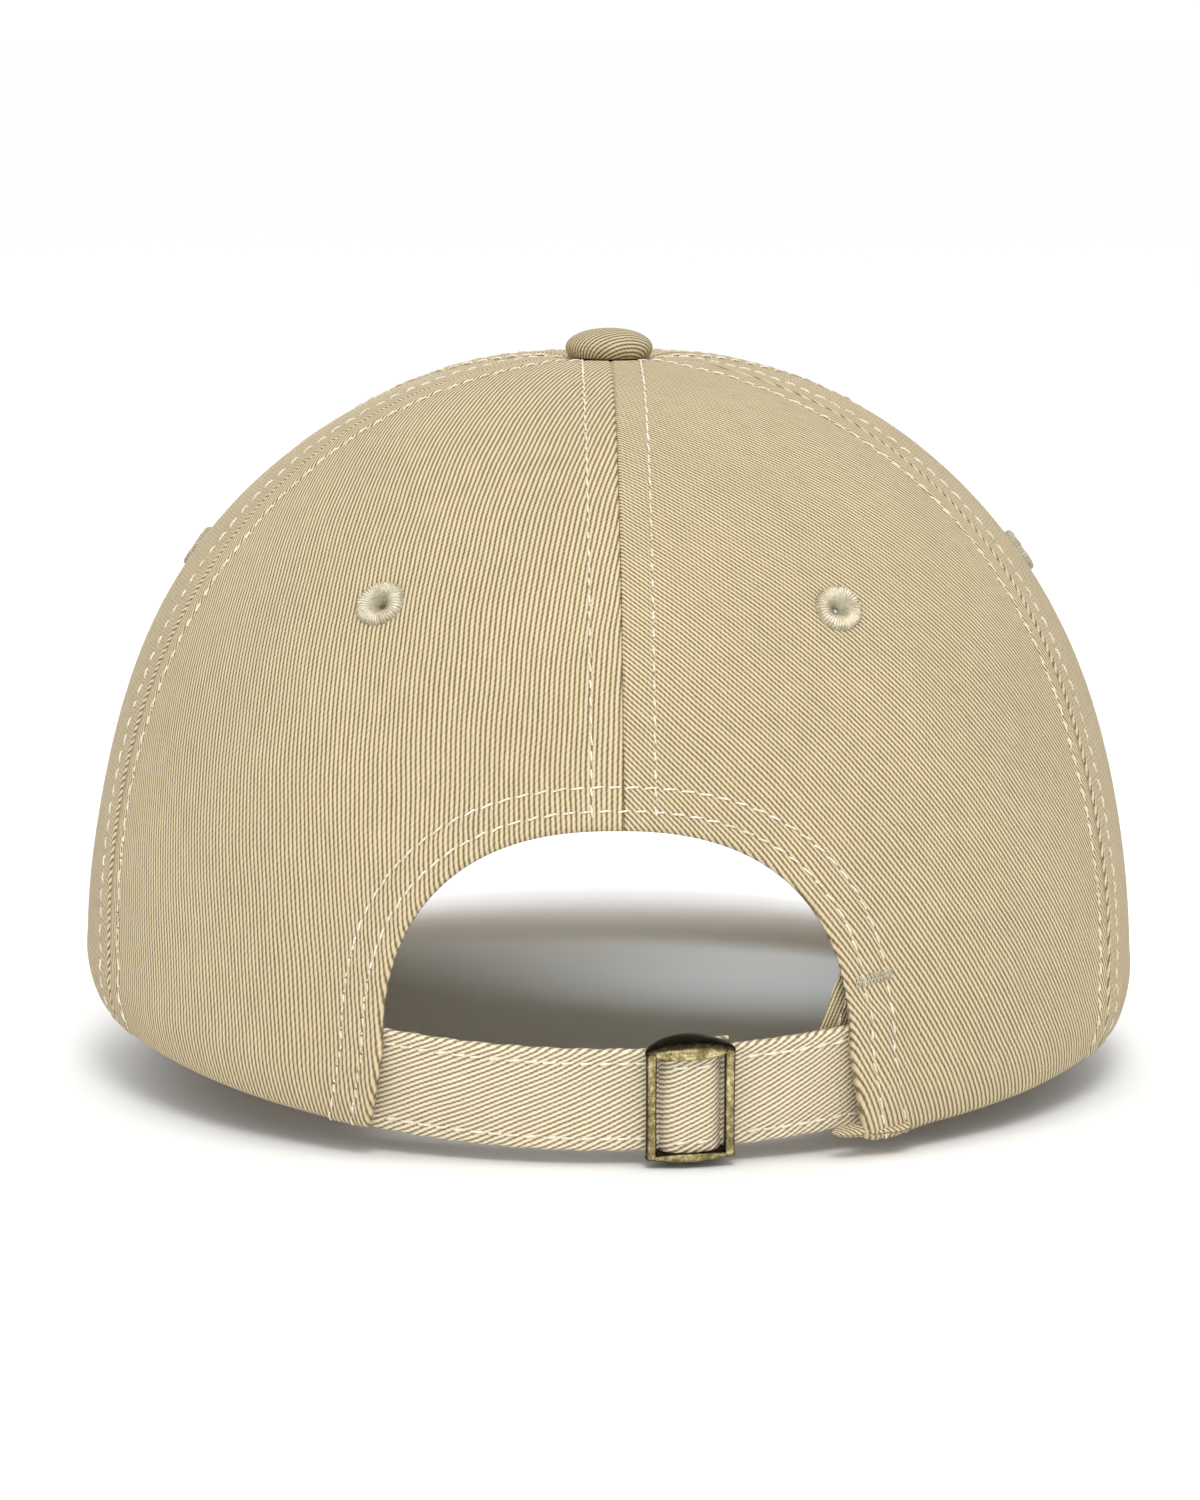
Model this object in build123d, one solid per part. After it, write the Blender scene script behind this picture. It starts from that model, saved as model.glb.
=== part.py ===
from build123d import *
import math
import os

# A six-panel cloth cap with an adjustable strap across its back opening.
# Millimetres.  +Z is up, +Y is forward over the visor, +X is the wearer's right.
# z = 0 is the table that the cap rests on, and the Z axis runs up the middle of
# the head opening.  Azimuths are degrees from +X, so the back is at -90.

# Driving dimensions of the crown
CROWN_HALF_WIDTH = 97.0
CROWN_HALF_LENGTH = 95.5
CROWN_HEIGHT = 131.6
SIDE_FULLNESS = 2.33      # superellipse exponent of the side and back profile
FRONT_FULLNESS = 3.03     # the same for the steeper front
RIM_TUCK = 0.021          # how far the rim draws in, as a share of the radius
RIM_TUCK_HEIGHT = 10.0
APEX_FORWARD = 3.2        # the button sits this far ahead of the head's middle
RIM_LOW = 2.85            # the rim's height above the table at the middle of the back
RIM_LIFT = 10.45          # its rise from there to the sides
RIM_TILT = 2.4            # the rim hangs this much higher at the rear left than the right
TILT_FADES = (-0.3, 0.45)  # and is level again from the second of these sines of azimuth
APEX_HOLE_RADIUS = 2.6

# Cloth layers, as depths below the crown's outer surface
PANEL_THICKNESS = 0.8
LINING_DEPTH = 0.9        # tapes, stiffening and facings start here
TAPE_THICKNESS = 0.5
SEAM_GAP = 0.1
ROW_CROWDING = 1.5        # above 1 puts more of a sheet's rows near the rim
TAPE_WIDTH = 11.0
TAPE_END_RADIUS = 11.0

# Seams between the panels
FRONT_SEAM_AZIMUTH = 29.0
BACK_SEAM_AZIMUTH = -88.4  # sewn a little right of the middle
REAR_SEAM_FROM_BACK = (67.0, 24.0, -50.0, 19.0)   # polynomial in the height share

# Back opening
OPENING_CENTRE = 1.2
OPENING_HALF_WIDTH = 40.0
OPENING_TOP = 57.8
OPENING_WAIST = 19.4      # height where the arch becomes nearly straight sides
OPENING_FLARE = 4.2
OPENING_SQUARENESS = 2.35
FACING_WIDTH = 8.0

# Eyelets
EYELET_RADIUS = 4.3
EYELET_HOLE_RADIUS = 1.5
EYELET_HEIGHT_SHARE = 0.4526
EYELET_AZIMUTHS = {
    "eyelet_back_left": -121.0,
    "eyelet_back_right": -58.9,
    "eyelet_side_left": 176.0,
    "eyelet_side_right": 4.0,
    "eyelet_front_left": 121.0,
    "eyelet_front_right": 59.0,
}

# Button
BUTTON_RADIUS = 8.05
BUTTON_DOME = 4.6
BUTTON_COVER_THICKNESS = 0.7
BUTTON_SHELL_THICKNESS = 0.5
RIVET_RADIUS = 1.6
WASHER_RADIUS = 7.0

# Strap, on a drum whose axis leans back so that the strap follows the rim
STRAP_LEAN = 13.0
STRAP_RADIUS = 90.9
STRAP_THICKNESS = 1.2
STRAP_WIDTH = 18.8
STRAP_HEIGHT = 11.95
STRAP_START = -35.0
STRAP_END = 50.0
TAB_THICKNESS = 1.0
TAB_END = 58.0
LAYER_GAP = 0.1
POCKET_START = 28.0
POCKET_END = 62.0
POCKET_THICKNESS = 0.5

# Buckle
BUCKLE_ANGLE = 8.45       # its place along the strap at rest
BUCKLE_HALF_WIDTH = 7.75
BUCKLE_HALF_HEIGHT = 11.3
BUCKLE_END_THICKNESS = 1.9
SIDE_BAR_RADIUS = 0.95
SIDE_BAR_OFFSET = 6.7
SIDE_BAR_CLEARANCE = 1.0
MIDDLE_BAR_RADIUS = 0.9
LOOP_CLEARANCE = 0.15

# Sweatband
SWEATBAND_DEPTH_FRONT = 2.5
SWEATBAND_DEPTH_BACK = 9.4
SWEATBAND_THICKNESS = 0.7
SWEATBAND_BACKING_THICKNESS = 0.5
SWEATBAND_LOW = 1.5
SWEATBAND_HIGH = 33.0
SWEATBAND_FROM_BACK = 30.0

# Visor
VISOR_HALF_WIDTH = 89.0
VISOR_FRONT = 161.0
VISOR_MIDDLE = 56.0       # where the outline is widest
VISOR_SQUARENESS = 2.25
VISOR_ARCH_RADIUS = 115.0
VISOR_SLOPE = 0.178
VISOR_COVER_THICKNESS = 0.6
VISOR_BOARD_THICKNESS = 1.7
VISOR_BOARD_INSET = 2.5
VISOR_LAYER_GAP = 0.05
VISOR_RIM_GAP = 0.21
VISOR_ROOT_DEPTH = 1.9


def share(low, high, part):
    """The value part of the way from low to high."""
    return low + (high - low) * part


def fullness(azimuth):
    front = max(0.0, math.sin(math.radians(azimuth)))
    return share(SIDE_FULLNESS, FRONT_FULLNESS, front * front)


def rim_point(azimuth):
    """The plan position of the crown's lower edge."""
    angle = math.radians(azimuth)
    x = CROWN_HALF_WIDTH * (1 - RIM_TUCK) * math.cos(angle)
    y = CROWN_HALF_LENGTH * (1 - RIM_TUCK) * math.sin(angle) + APEX_FORWARD * RIM_TUCK
    return x, y


def rear_rim_height(azimuth):
    """The rim rises from the back to the sides, a little more on the left."""
    forward = math.sin(math.radians(azimuth))
    rise = RIM_LIFT * (1 - max(0.0, -forward) ** 1.5)
    start, end = TILT_FADES
    faded = min(1.0, max(0.0, (forward - start) / (end - start)))
    tilt = RIM_TILT * (1 - faded * faded * (3 - 2 * faded))
    return RIM_LOW + rise - tilt * math.cos(math.radians(azimuth))


def visor_height(x, y):
    """The visor's upper surface: an arch that slopes down towards the front."""
    root_x, root_y = rim_point(FRONT_SEAM_AZIMUTH)
    root_z = rear_rim_height(FRONT_SEAM_AZIMUTH) - VISOR_RIM_GAP
    arch = (root_x * root_x - x * x) / (2 * VISOR_ARCH_RADIUS)
    return root_z + arch - VISOR_SLOPE * (y - root_y)


def rim_height(azimuth):
    """The rim follows the visor round the front and rises gently round the back."""
    front = math.sin(math.radians(FRONT_SEAM_AZIMUTH))
    if math.sin(math.radians(azimuth)) > front:
        return visor_height(*rim_point(azimuth)) + VISOR_RIM_GAP
    return rear_rim_height(azimuth)


def surface_point(azimuth, latitude):
    """The crown's outer surface: latitude 0 at the rim and 90 at the apex."""
    angle = math.radians(azimuth)
    power = 2 / fullness(azimuth)
    across = max(0.0, math.cos(math.radians(latitude))) ** power
    up = max(0.0, math.sin(math.radians(latitude))) ** power
    below = max(0.0, 1 - CROWN_HEIGHT * up / RIM_TUCK_HEIGHT)
    across = across - RIM_TUCK * below * below
    x = CROWN_HALF_WIDTH * across * math.cos(angle)
    y = CROWN_HALF_LENGTH * across * math.sin(angle) + APEX_FORWARD * (1 - across)
    return Vector(x, y, share(rim_height(azimuth), CROWN_HEIGHT, up))


def surface_normal(azimuth, latitude, step=0.2):
    around = surface_point(azimuth + step, latitude) - surface_point(azimuth - step, latitude)
    above = surface_point(azimuth, min(90.0, latitude + step))
    up = above - surface_point(azimuth, max(0.0, latitude - step))
    return around.cross(up).normalized()


def crown_point(azimuth, latitude, depth=0.0):
    """A point at a depth below the crown's outer surface."""
    return surface_point(azimuth, latitude) - surface_normal(azimuth, latitude) * depth


def latitude_at_rise(azimuth, rise):
    """The latitude at a height above the rim."""
    part = rise / (CROWN_HEIGHT - rim_height(azimuth))
    return math.degrees(math.asin(part ** (fullness(azimuth) / 2)))


def latitude_at_radius(azimuth, radius):
    """The latitude, near the apex, where the crown is this far from its centre."""
    across = radius / CROWN_HALF_WIDTH
    return math.degrees(math.acos(across ** (fullness(azimuth) / 2)))


def plan_radius(azimuth, latitude):
    power = 2 / fullness(azimuth)
    return CROWN_HALF_WIDTH * max(0.02, math.cos(math.radians(latitude))) ** power


def solid_between(sheets):
    """The closed solid between two matching sheets."""
    outer, inner = sheets
    faces = [outer, inner]
    for edge in outer.edges():
        middle = edge @ 0.5
        partner = min(inner.edges(), key=lambda other: (other @ 0.5 - middle).length)
        faces.append(Face.make_surface_from_curves(edge, partner))
    return Solid(Shell(faces))


def crown_patch(left, right, low, high, outer, inner, columns=13, rows=35):
    """A layer of the crown between two side lines and two latitudes.

    left and right give an azimuth from a share of the height, low and high give a
    latitude from an azimuth, and outer and inner give a depth from an azimuth.
    """
    sheets = []
    for depth in (outer, inner):
        grid = []
        for row in range(rows):
            part = (row / (rows - 1)) ** ROW_CROWDING
            line = []
            for column in range(columns):
                azimuth = share(left(part), right(part), column / (columns - 1))
                latitude = share(low(azimuth), high(azimuth), part)
                line.append(crown_point(azimuth, latitude, depth(azimuth)))
            grid.append(line)
        sheets.append(Face.make_surface_from_array_of_points(grid, tol=0.01))
    return solid_between(sheets)


def constant(value):
    return lambda _: value


def rear_seam(part):
    """Azimuth of the right rear seam."""
    start, slope, bend, turn = REAR_SEAM_FROM_BACK
    return -90 + start + slope * part + bend * part ** 2 + turn * part ** 3


SEAMS = {
    "centre_back": constant(BACK_SEAM_AZIMUTH),
    "rear_right": rear_seam,
    "front_right": constant(FRONT_SEAM_AZIMUTH),
    "centre_front": constant(90.0),
    "front_left": constant(180.0 - FRONT_SEAM_AZIMUTH),
    "rear_left": lambda part: 180.0 - rear_seam(part),
    "centre_back_again": constant(360.0 + BACK_SEAM_AZIMUTH),
}


def beside(seam, side, width):
    """A line beside a seam at a constant width in millimetres."""
    def line(part):
        azimuth = seam(part)
        radius = plan_radius(azimuth, 90.0 * part)
        return azimuth + side * math.degrees(width / max(radius, APEX_HOLE_RADIUS))
    return line


def apex_latitude(azimuth):
    return latitude_at_radius(azimuth, APEX_HOLE_RADIUS)


def panel(left, right):
    return crown_patch(
        beside(SEAMS[left], 1, SEAM_GAP / 2),
        beside(SEAMS[right], -1, SEAM_GAP / 2),
        constant(0.0),
        apex_latitude,
        constant(0.0),
        constant(PANEL_THICKNESS),
    )


def seam_tape(seam, start_share):
    """A strip of tape inside the crown along a seam, from a share of the height."""
    def narrowed(side):
        line = SEAMS[seam]

        def edge(part):
            azimuth = line(share(start_share, 1.0, part))
            top = latitude_at_radius(azimuth, TAPE_END_RADIUS)
            radius = plan_radius(azimuth, share(start_share * 90.0, top, part))
            return azimuth + side * math.degrees(TAPE_WIDTH / 2 / radius)
        return edge

    return crown_patch(
        narrowed(-1),
        narrowed(1),
        constant(start_share * 90.0),
        lambda azimuth: latitude_at_radius(azimuth, TAPE_END_RADIUS),
        constant(LINING_DEPTH),
        constant(LINING_DEPTH + TAPE_THICKNESS),
        columns=4,
    )


def buckram(left, right):
    """The stiffening behind a front panel, clear of the tapes on both its seams."""
    margin = TAPE_WIDTH / 2 + 1.0
    top_radius = 28.0
    low_rise = 4.0

    def low(azimuth):
        return latitude_at_rise(azimuth, low_rise)

    def high(azimuth):
        return latitude_at_radius(azimuth, top_radius)

    def side(seam, direction):
        def line(part):
            azimuth = SEAMS[seam](part)
            radius = plan_radius(azimuth, share(low(azimuth), high(azimuth), part))
            return azimuth + direction * math.degrees(margin / radius)
        return line

    return crown_patch(
        side(left, 1),
        side(right, -1),
        low,
        high,
        constant(LINING_DEPTH),
        constant(LINING_DEPTH + TAPE_THICKNESS),
    )


def arch_prism(offset):
    """The back opening's outline, grown by an offset, as a block through the back."""
    half_width = OPENING_HALF_WIDTH + offset
    rise = OPENING_TOP - OPENING_WAIST + offset
    power = 2 / OPENING_SQUARENESS
    points = []
    steps = 24
    for step in range(steps + 1):
        angle = math.pi * step / steps
        across = abs(math.cos(angle)) ** power * math.copysign(1, math.cos(angle))
        height = OPENING_WAIST + rise * math.sin(angle) ** power
        points.append(Vector(OPENING_CENTRE + half_width * across, 0, height))
    foot = -8.0
    flare = half_width + OPENING_FLARE
    left_foot = Vector(OPENING_CENTRE - flare, 0, foot)
    right_foot = Vector(OPENING_CENTRE + flare, 0, foot)
    outline = Wire([
        Edge.make_spline(points),
        Edge.make_line(points[-1], left_foot),
        Edge.make_line(left_foot, right_foot),
        Edge.make_line(right_foot, points[0]),
    ])
    return Solid.extrude(Face(outline), Vector(0, -140, 0))


def opening_facing():
    """The strip sewn inside round the back opening."""
    layer = crown_patch(
        constant(-90.0 - 38.0),
        constant(-90.0 + 38.0),
        constant(0.0),
        constant(50.0),
        constant(LINING_DEPTH),
        constant(LINING_DEPTH + TAPE_THICKNESS),
        columns=13,
    )
    return (layer & arch_prism(FACING_WIDTH)) - arch_prism(0.3)


def eyelet_plane(azimuth):
    latitude = 90.0 * EYELET_HEIGHT_SHARE
    normal = surface_normal(azimuth, latitude)
    return Plane(origin=surface_point(azimuth, latitude), z_dir=normal)


def eyelet_hole(azimuth):
    return eyelet_plane(azimuth) * Cylinder(EYELET_RADIUS + 0.05, 8.0)


def eyelet(azimuth):
    """A ring of thread wrapped through the panel."""
    proud = 0.35
    height = PANEL_THICKNESS + 2 * proud
    ring = Cylinder(EYELET_RADIUS, height) - Cylinder(EYELET_HOLE_RADIUS, height)
    ring = fillet(ring.edges().filter_by(GeomType.CIRCLE), 0.3)
    return eyelet_plane(azimuth) * Pos(0, 0, -PANEL_THICKNESS / 2) * ring


def quarter_ellipse(radius, height):
    """Points on the upper right quarter of an ellipse, standing in the XZ plane."""
    steps = 12
    angles = [math.pi / 2 * step / steps for step in range(steps + 1)]
    return [Vector(radius * math.cos(a), 0, height * math.sin(a)) for a in angles]


def dome_shell(radius, height, thickness):
    """A thin half ellipsoid standing on z = 0."""
    outer = quarter_ellipse(radius, height)
    inner = quarter_ellipse(radius - thickness, height - thickness)
    ends = [Vector(0, 0, 1), Vector(-1, 0, 0)]
    section = Wire([
        Edge.make_line(inner[0], outer[0]),
        Edge.make_spline(outer, tangents=ends),
        Edge.make_line(outer[-1], inner[-1]),
        Edge.make_spline(inner, tangents=ends),
    ])
    return revolve(Face(section), Axis.Z, 360)


def button_parts():
    """Cloth cover, pressed shell, rivet and washer of the button on the apex."""
    base = CROWN_HEIGHT + 0.15
    layer_gap = 0.03
    inset = BUTTON_COVER_THICKNESS + layer_gap
    cover = dome_shell(BUTTON_RADIUS, BUTTON_DOME, BUTTON_COVER_THICKNESS)
    shell = dome_shell(BUTTON_RADIUS - inset, BUTTON_DOME - inset, BUTTON_SHELL_THICKNESS)
    core_radius = BUTTON_RADIUS - inset - BUTTON_SHELL_THICKNESS
    head_height = 1.0
    washer_top = -1.5
    washer_height = 0.8
    centre = APEX_FORWARD
    head = Pos(0, 0, head_height / 2) * Cylinder(core_radius - 0.6, head_height)
    stem_low = washer_top - washer_height - 0.6
    stem = Pos(0, 0, stem_low / 2) * Cylinder(RIVET_RADIUS, -stem_low)
    clench = Pos(0, 0, stem_low + 0.25) * Cylinder(RIVET_RADIUS + 1.0, 0.5)
    ring = Cylinder(WASHER_RADIUS, washer_height) - Cylinder(RIVET_RADIUS + 0.1, washer_height)
    washer = Pos(0, 0, washer_top - washer_height / 2) * ring
    place = Pos(0, centre, base)
    return {
        "button_cover": place * cover,
        "button_shell": place * shell,
        "button_rivet": place * (head + stem + clench),
        "button_washer": place * washer,
    }


def strap_plane(angle, radius=STRAP_RADIUS):
    """A frame on the strap: x along it, y towards the head and z across its width."""
    lean = math.radians(STRAP_LEAN)
    turn = math.radians(angle)
    up = Vector(0, -math.sin(lean), math.cos(lean))
    outward = Vector(0, -math.cos(lean), -math.sin(lean))
    back = Vector(0, -STRAP_RADIUS, STRAP_HEIGHT)
    centre = back - outward * STRAP_RADIUS
    side = Vector(1, 0, 0)
    origin = centre + (side * math.sin(turn) + outward * math.cos(turn)) * radius
    along = side * math.cos(turn) - outward * math.sin(turn)
    return Plane(origin=origin, x_dir=along, z_dir=up)


def band(start, end, inner_radius, thickness, width):
    """A curved band on the strap's drum between two angles."""
    frame = strap_plane(start, 0.0)
    section = Face(Wire.make_polygon([
        Vector(0, -inner_radius, -width / 2),
        Vector(0, -inner_radius - thickness, -width / 2),
        Vector(0, -inner_radius - thickness, width / 2),
        Vector(0, -inner_radius, width / 2),
    ]))
    return frame * revolve(section, Axis.Z, end - start)


STRAP_INNER = STRAP_RADIUS - STRAP_THICKNESS / 2
STRAP_OUTER = STRAP_RADIUS + STRAP_THICKNESS / 2
TAB_INNER = STRAP_INNER - LAYER_GAP - TAB_THICKNESS
LOOP_INNER_RADIUS = MIDDLE_BAR_RADIUS + LOOP_CLEARANCE
MIDDLE_BAR_DRUM = TAB_INNER - LOOP_INNER_RADIUS
SIDE_BAR_DRUM = STRAP_OUTER + SIDE_BAR_CLEARANCE + SIDE_BAR_RADIUS
TAB_WIDTH = STRAP_WIDTH - 1.0


def buckle_tab():
    """The short tab: a loop round the middle bar and a tail that runs to the slot."""
    tail = band(BUCKLE_ANGLE, TAB_END, TAB_INNER, TAB_THICKNESS, TAB_WIDTH)
    loop = Cylinder(LOOP_INNER_RADIUS + TAB_THICKNESS, TAB_WIDTH)
    loop = strap_plane(BUCKLE_ANGLE, MIDDLE_BAR_DRUM) * loop
    bore = strap_plane(BUCKLE_ANGLE, MIDDLE_BAR_DRUM) * Cylinder(LOOP_INNER_RADIUS, STRAP_WIDTH)
    return tail + loop - bore


def buckle():
    """A three-bar slide: two domed ends, two front bars and one bar behind."""
    frame = strap_plane(BUCKLE_ANGLE)
    front = STRAP_RADIUS - SIDE_BAR_DRUM
    behind = STRAP_RADIUS - MIDDLE_BAR_DRUM
    corner = BUCKLE_HALF_WIDTH
    crest = front - 2.0
    heel = behind + MIDDLE_BAR_RADIUS + 0.5
    outline = Wire([
        Edge.make_three_point_arc(
            (-corner, front + 0.5, 0), (0, crest, 0), (corner, front + 0.5, 0)
        ),
        Edge.make_line((corner, front + 0.5, 0), (corner - 0.6, front + 1.5, 0)),
        Edge.make_spline([
            Vector(corner - 0.6, front + 1.5, 0),
            Vector(2.4, heel - 0.7, 0),
            Vector(0, heel, 0),
            Vector(-2.4, heel - 0.7, 0),
            Vector(-corner + 0.6, front + 1.5, 0),
        ]),
        Edge.make_line((-corner + 0.6, front + 1.5, 0), (-corner, front + 0.5, 0)),
    ])
    plate = Solid.extrude(Face(outline), Vector(0, 0, BUCKLE_END_THICKNESS))
    low = BUCKLE_HALF_HEIGHT - BUCKLE_END_THICKNESS
    body = Pos(0, 0, low) * plate + Pos(0, 0, -BUCKLE_HALF_HEIGHT) * plate
    length = 2 * low + 1.0
    for side in (-1, 1):
        bar = Pos(side * SIDE_BAR_OFFSET, front, 0) * Cylinder(SIDE_BAR_RADIUS, length)
        body = body + bar
    body = body + Pos(0, behind, 0) * Cylinder(MIDDLE_BAR_RADIUS, length)
    return frame * body


def sweatband_depth(azimuth):
    """The sweatband hangs further in at the back, clear of the strap's ends."""
    part = min(1.0, max(0.0, -math.sin(math.radians(azimuth)) / 0.35))
    return share(SWEATBAND_DEPTH_FRONT, SWEATBAND_DEPTH_BACK, part * part * (3 - 2 * part))


def sweatband_layer(start, thickness, low, high):
    return crown_patch(
        constant(-90.0 + SWEATBAND_FROM_BACK),
        constant(270.0 - SWEATBAND_FROM_BACK),
        lambda azimuth: latitude_at_rise(azimuth, low),
        lambda azimuth: latitude_at_rise(azimuth, high),
        lambda azimuth: sweatband_depth(azimuth) + start,
        lambda azimuth: sweatband_depth(azimuth) + start + thickness,
        columns=81,
        rows=5,
    )


def visor_outline(inset, root_depth):
    """The visor's plan: its root follows the rim and its edge is a superellipse."""
    power = 2 / VISOR_SQUARENESS
    reach = VISOR_FRONT - VISOR_MIDDLE - inset
    width = VISOR_HALF_WIDTH - inset
    edge_points = []
    quarter_steps = 8
    for step in range(1, quarter_steps + 1):
        angle = math.pi / 2 * step / quarter_steps
        x = width * max(0.0, math.cos(angle)) ** power
        edge_points.append(Vector(x, VISOR_MIDDLE + reach * math.sin(angle) ** power, 0))
    shrink = 1 - root_depth / CROWN_HALF_WIDTH
    root_points = []
    steps = 12
    margin = math.degrees((inset + 0.6) / CROWN_HALF_WIDTH)
    first = FRONT_SEAM_AZIMUTH + margin
    for step in range(steps + 1):
        x, y = rim_point(share(180.0 - first, first, step / steps))
        root_points.append(Vector(x * shrink, y * shrink, 0))
    corner = root_points[-1] + Vector(root_depth + 0.6, -0.4, 0)
    edge_points.insert(0, corner)
    mirrored = [Vector(-point.X, point.Y, 0) for point in edge_points]
    leaving = Vector(0.32, 1, 0)
    outline = Wire([
        Edge.make_spline(edge_points, tangents=[leaving, Vector(-1, 0, 0)]),
        Edge.make_spline(mirrored, tangents=[Vector(-leaving.X, leaving.Y, 0), Vector(1, 0, 0)]),
        Edge.make_line(mirrored[0], root_points[0]),
        Edge.make_spline(root_points),
        Edge.make_line(root_points[-1], corner),
    ])
    return Solid.extrude(Face(outline), Vector(0, 0, 80)).moved(Location((0, 0, -20)))


def visor_layer(top, bottom, inset, root_depth):
    """A curved sheet of the visor between two depths below its upper surface."""
    columns = 13
    rows = 5
    half = VISOR_HALF_WIDTH + 8.0
    sheets = []
    for depth in (top, bottom):
        grid = []
        for row in range(rows):
            y = share(20.0, VISOR_FRONT + 8.0, row / (rows - 1))
            xs = [share(-half, half, column / (columns - 1)) for column in range(columns)]
            grid.append([Vector(x, y, visor_height(x, y) - depth) for x in xs])
        sheets.append(Face.make_surface_from_array_of_points(grid, tol=0.005))
    return solid_between(sheets) & visor_outline(inset, root_depth)


def bar_tack():
    """A short block of dense stitches that closes the slot's upper corner."""
    azimuth = -90.0 + 28.6
    latitude = latitude_at_rise(azimuth, 27.8)
    normal = surface_normal(azimuth, latitude)
    frame = Plane(
        origin=surface_point(azimuth, latitude) + normal * 0.4,
        x_dir=surface_point(azimuth + 1, latitude) - surface_point(azimuth - 1, latitude),
        z_dir=normal,
    )
    return frame * fillet(Box(7.0, 1.8, 0.6).edges(), 0.2)


def build_nodes():
    opening = arch_prism(0.0)
    nodes = {
        "back_right_panel": panel("centre_back", "rear_right") - opening,
        "side_right_panel": panel("rear_right", "front_right"),
        "front_right_panel": panel("front_right", "centre_front"),
        "front_left_panel": panel("centre_front", "front_left"),
        "side_left_panel": panel("front_left", "rear_left"),
        "back_left_panel": panel("rear_left", "centre_back_again") - opening,
        "front_right_buckram": buckram("front_right", "centre_front"),
        "front_left_buckram": buckram("centre_front", "front_left"),
    }
    for name, azimuth in EYELET_AZIMUTHS.items():
        owner = name.replace("eyelet_", "") + "_panel"
        nodes[owner] = nodes[owner] - eyelet_hole(azimuth)
        nodes[name] = eyelet(azimuth)
        stiffening = owner.replace("panel", "buckram")
        if stiffening in nodes:
            nodes[stiffening] = nodes[stiffening] - eyelet_hole(azimuth)
    nodes["seam_tape_rear_right"] = seam_tape("rear_right", 0.06)
    nodes["seam_tape_rear_left"] = seam_tape("rear_left", 0.06)
    nodes["seam_tape_front_right"] = seam_tape("front_right", 0.06)
    nodes["seam_tape_front_left"] = seam_tape("front_left", 0.06)
    nodes["seam_tape_centre_front"] = seam_tape("centre_front", 0.06)
    nodes["seam_tape_centre_back"] = seam_tape("centre_back", 0.3)
    nodes["opening_facing"] = opening_facing()
    nodes.update(button_parts())
    nodes["strap"] = band(STRAP_START, STRAP_END, STRAP_INNER, STRAP_THICKNESS, STRAP_WIDTH)
    nodes["strap_pocket_lining"] = band(
        POCKET_START,
        POCKET_END,
        TAB_INNER - LAYER_GAP - POCKET_THICKNESS,
        POCKET_THICKNESS,
        STRAP_WIDTH + 4.0,
    )
    nodes["buckle_tab"] = buckle_tab()
    nodes["buckle"] = buckle()
    nodes["bar_tack"] = bar_tack()
    nodes["sweatband_backing"] = sweatband_layer(
        0.0, SWEATBAND_BACKING_THICKNESS, SWEATBAND_LOW + 2.0, SWEATBAND_HIGH - 2.0
    )
    nodes["sweatband"] = sweatband_layer(
        SWEATBAND_BACKING_THICKNESS + LAYER_GAP, SWEATBAND_THICKNESS, SWEATBAND_LOW, SWEATBAND_HIGH
    )
    board_top = VISOR_COVER_THICKNESS + VISOR_LAYER_GAP
    board_bottom = board_top + VISOR_BOARD_THICKNESS
    under_top = board_bottom + VISOR_LAYER_GAP
    nodes["visor_top_cover"] = visor_layer(0.0, VISOR_COVER_THICKNESS, 0.0, VISOR_ROOT_DEPTH)
    nodes["visor_board"] = visor_layer(
        board_top, board_bottom, VISOR_BOARD_INSET, VISOR_ROOT_DEPTH - 1.0
    )
    nodes["visor_under_cover"] = visor_layer(
        under_top, under_top + VISOR_COVER_THICKNESS, 0.0, VISOR_ROOT_DEPTH
    )
    return nodes


os.makedirs("parts", exist_ok=True)
for node_name, shape in build_nodes().items():
    shape.label = node_name
    export_step(shape, os.path.join("parts", node_name + ".step"))
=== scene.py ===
import math

import bpy
import numpy as np
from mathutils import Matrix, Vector


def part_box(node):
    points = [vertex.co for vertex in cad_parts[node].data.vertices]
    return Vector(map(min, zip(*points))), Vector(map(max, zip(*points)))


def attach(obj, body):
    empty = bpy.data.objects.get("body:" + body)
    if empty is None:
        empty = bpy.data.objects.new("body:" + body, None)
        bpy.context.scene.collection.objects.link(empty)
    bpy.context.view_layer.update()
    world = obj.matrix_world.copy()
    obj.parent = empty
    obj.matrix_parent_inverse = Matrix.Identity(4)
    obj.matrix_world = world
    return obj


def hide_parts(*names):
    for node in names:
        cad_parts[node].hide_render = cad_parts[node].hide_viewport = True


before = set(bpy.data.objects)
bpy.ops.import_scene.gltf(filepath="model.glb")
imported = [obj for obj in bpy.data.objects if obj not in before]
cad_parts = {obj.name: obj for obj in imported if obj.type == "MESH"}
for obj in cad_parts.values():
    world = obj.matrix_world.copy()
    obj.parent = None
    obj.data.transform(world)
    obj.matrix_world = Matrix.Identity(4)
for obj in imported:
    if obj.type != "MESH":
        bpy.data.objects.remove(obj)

# Looks of a six-panel cotton cap, built round its CAD frame.  Everything is worked out in
# millimetres and degrees, and make_mesh turns it into metres.  Azimuth -90 is the back of
# the cap and 90 the front.  Latitude 0 is the rim and 90 the top.
MM = 0.001
TURN = 2 * math.pi
UP = np.array([0.0, 0.0, 1.0])
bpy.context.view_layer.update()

# Crown: the same surface as the CAD panels
CROWN_HALF_WIDTH = 97.0
CROWN_HALF_LENGTH = 95.5
CROWN_HEIGHT = 131.6
SIDE_FULLNESS = 2.33
FRONT_FULLNESS = 3.03
RIM_TUCK = 0.021
RIM_TUCK_HEIGHT = 10.0
APEX_FORWARD = 3.2
RIM_LOW = 2.85
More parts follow.
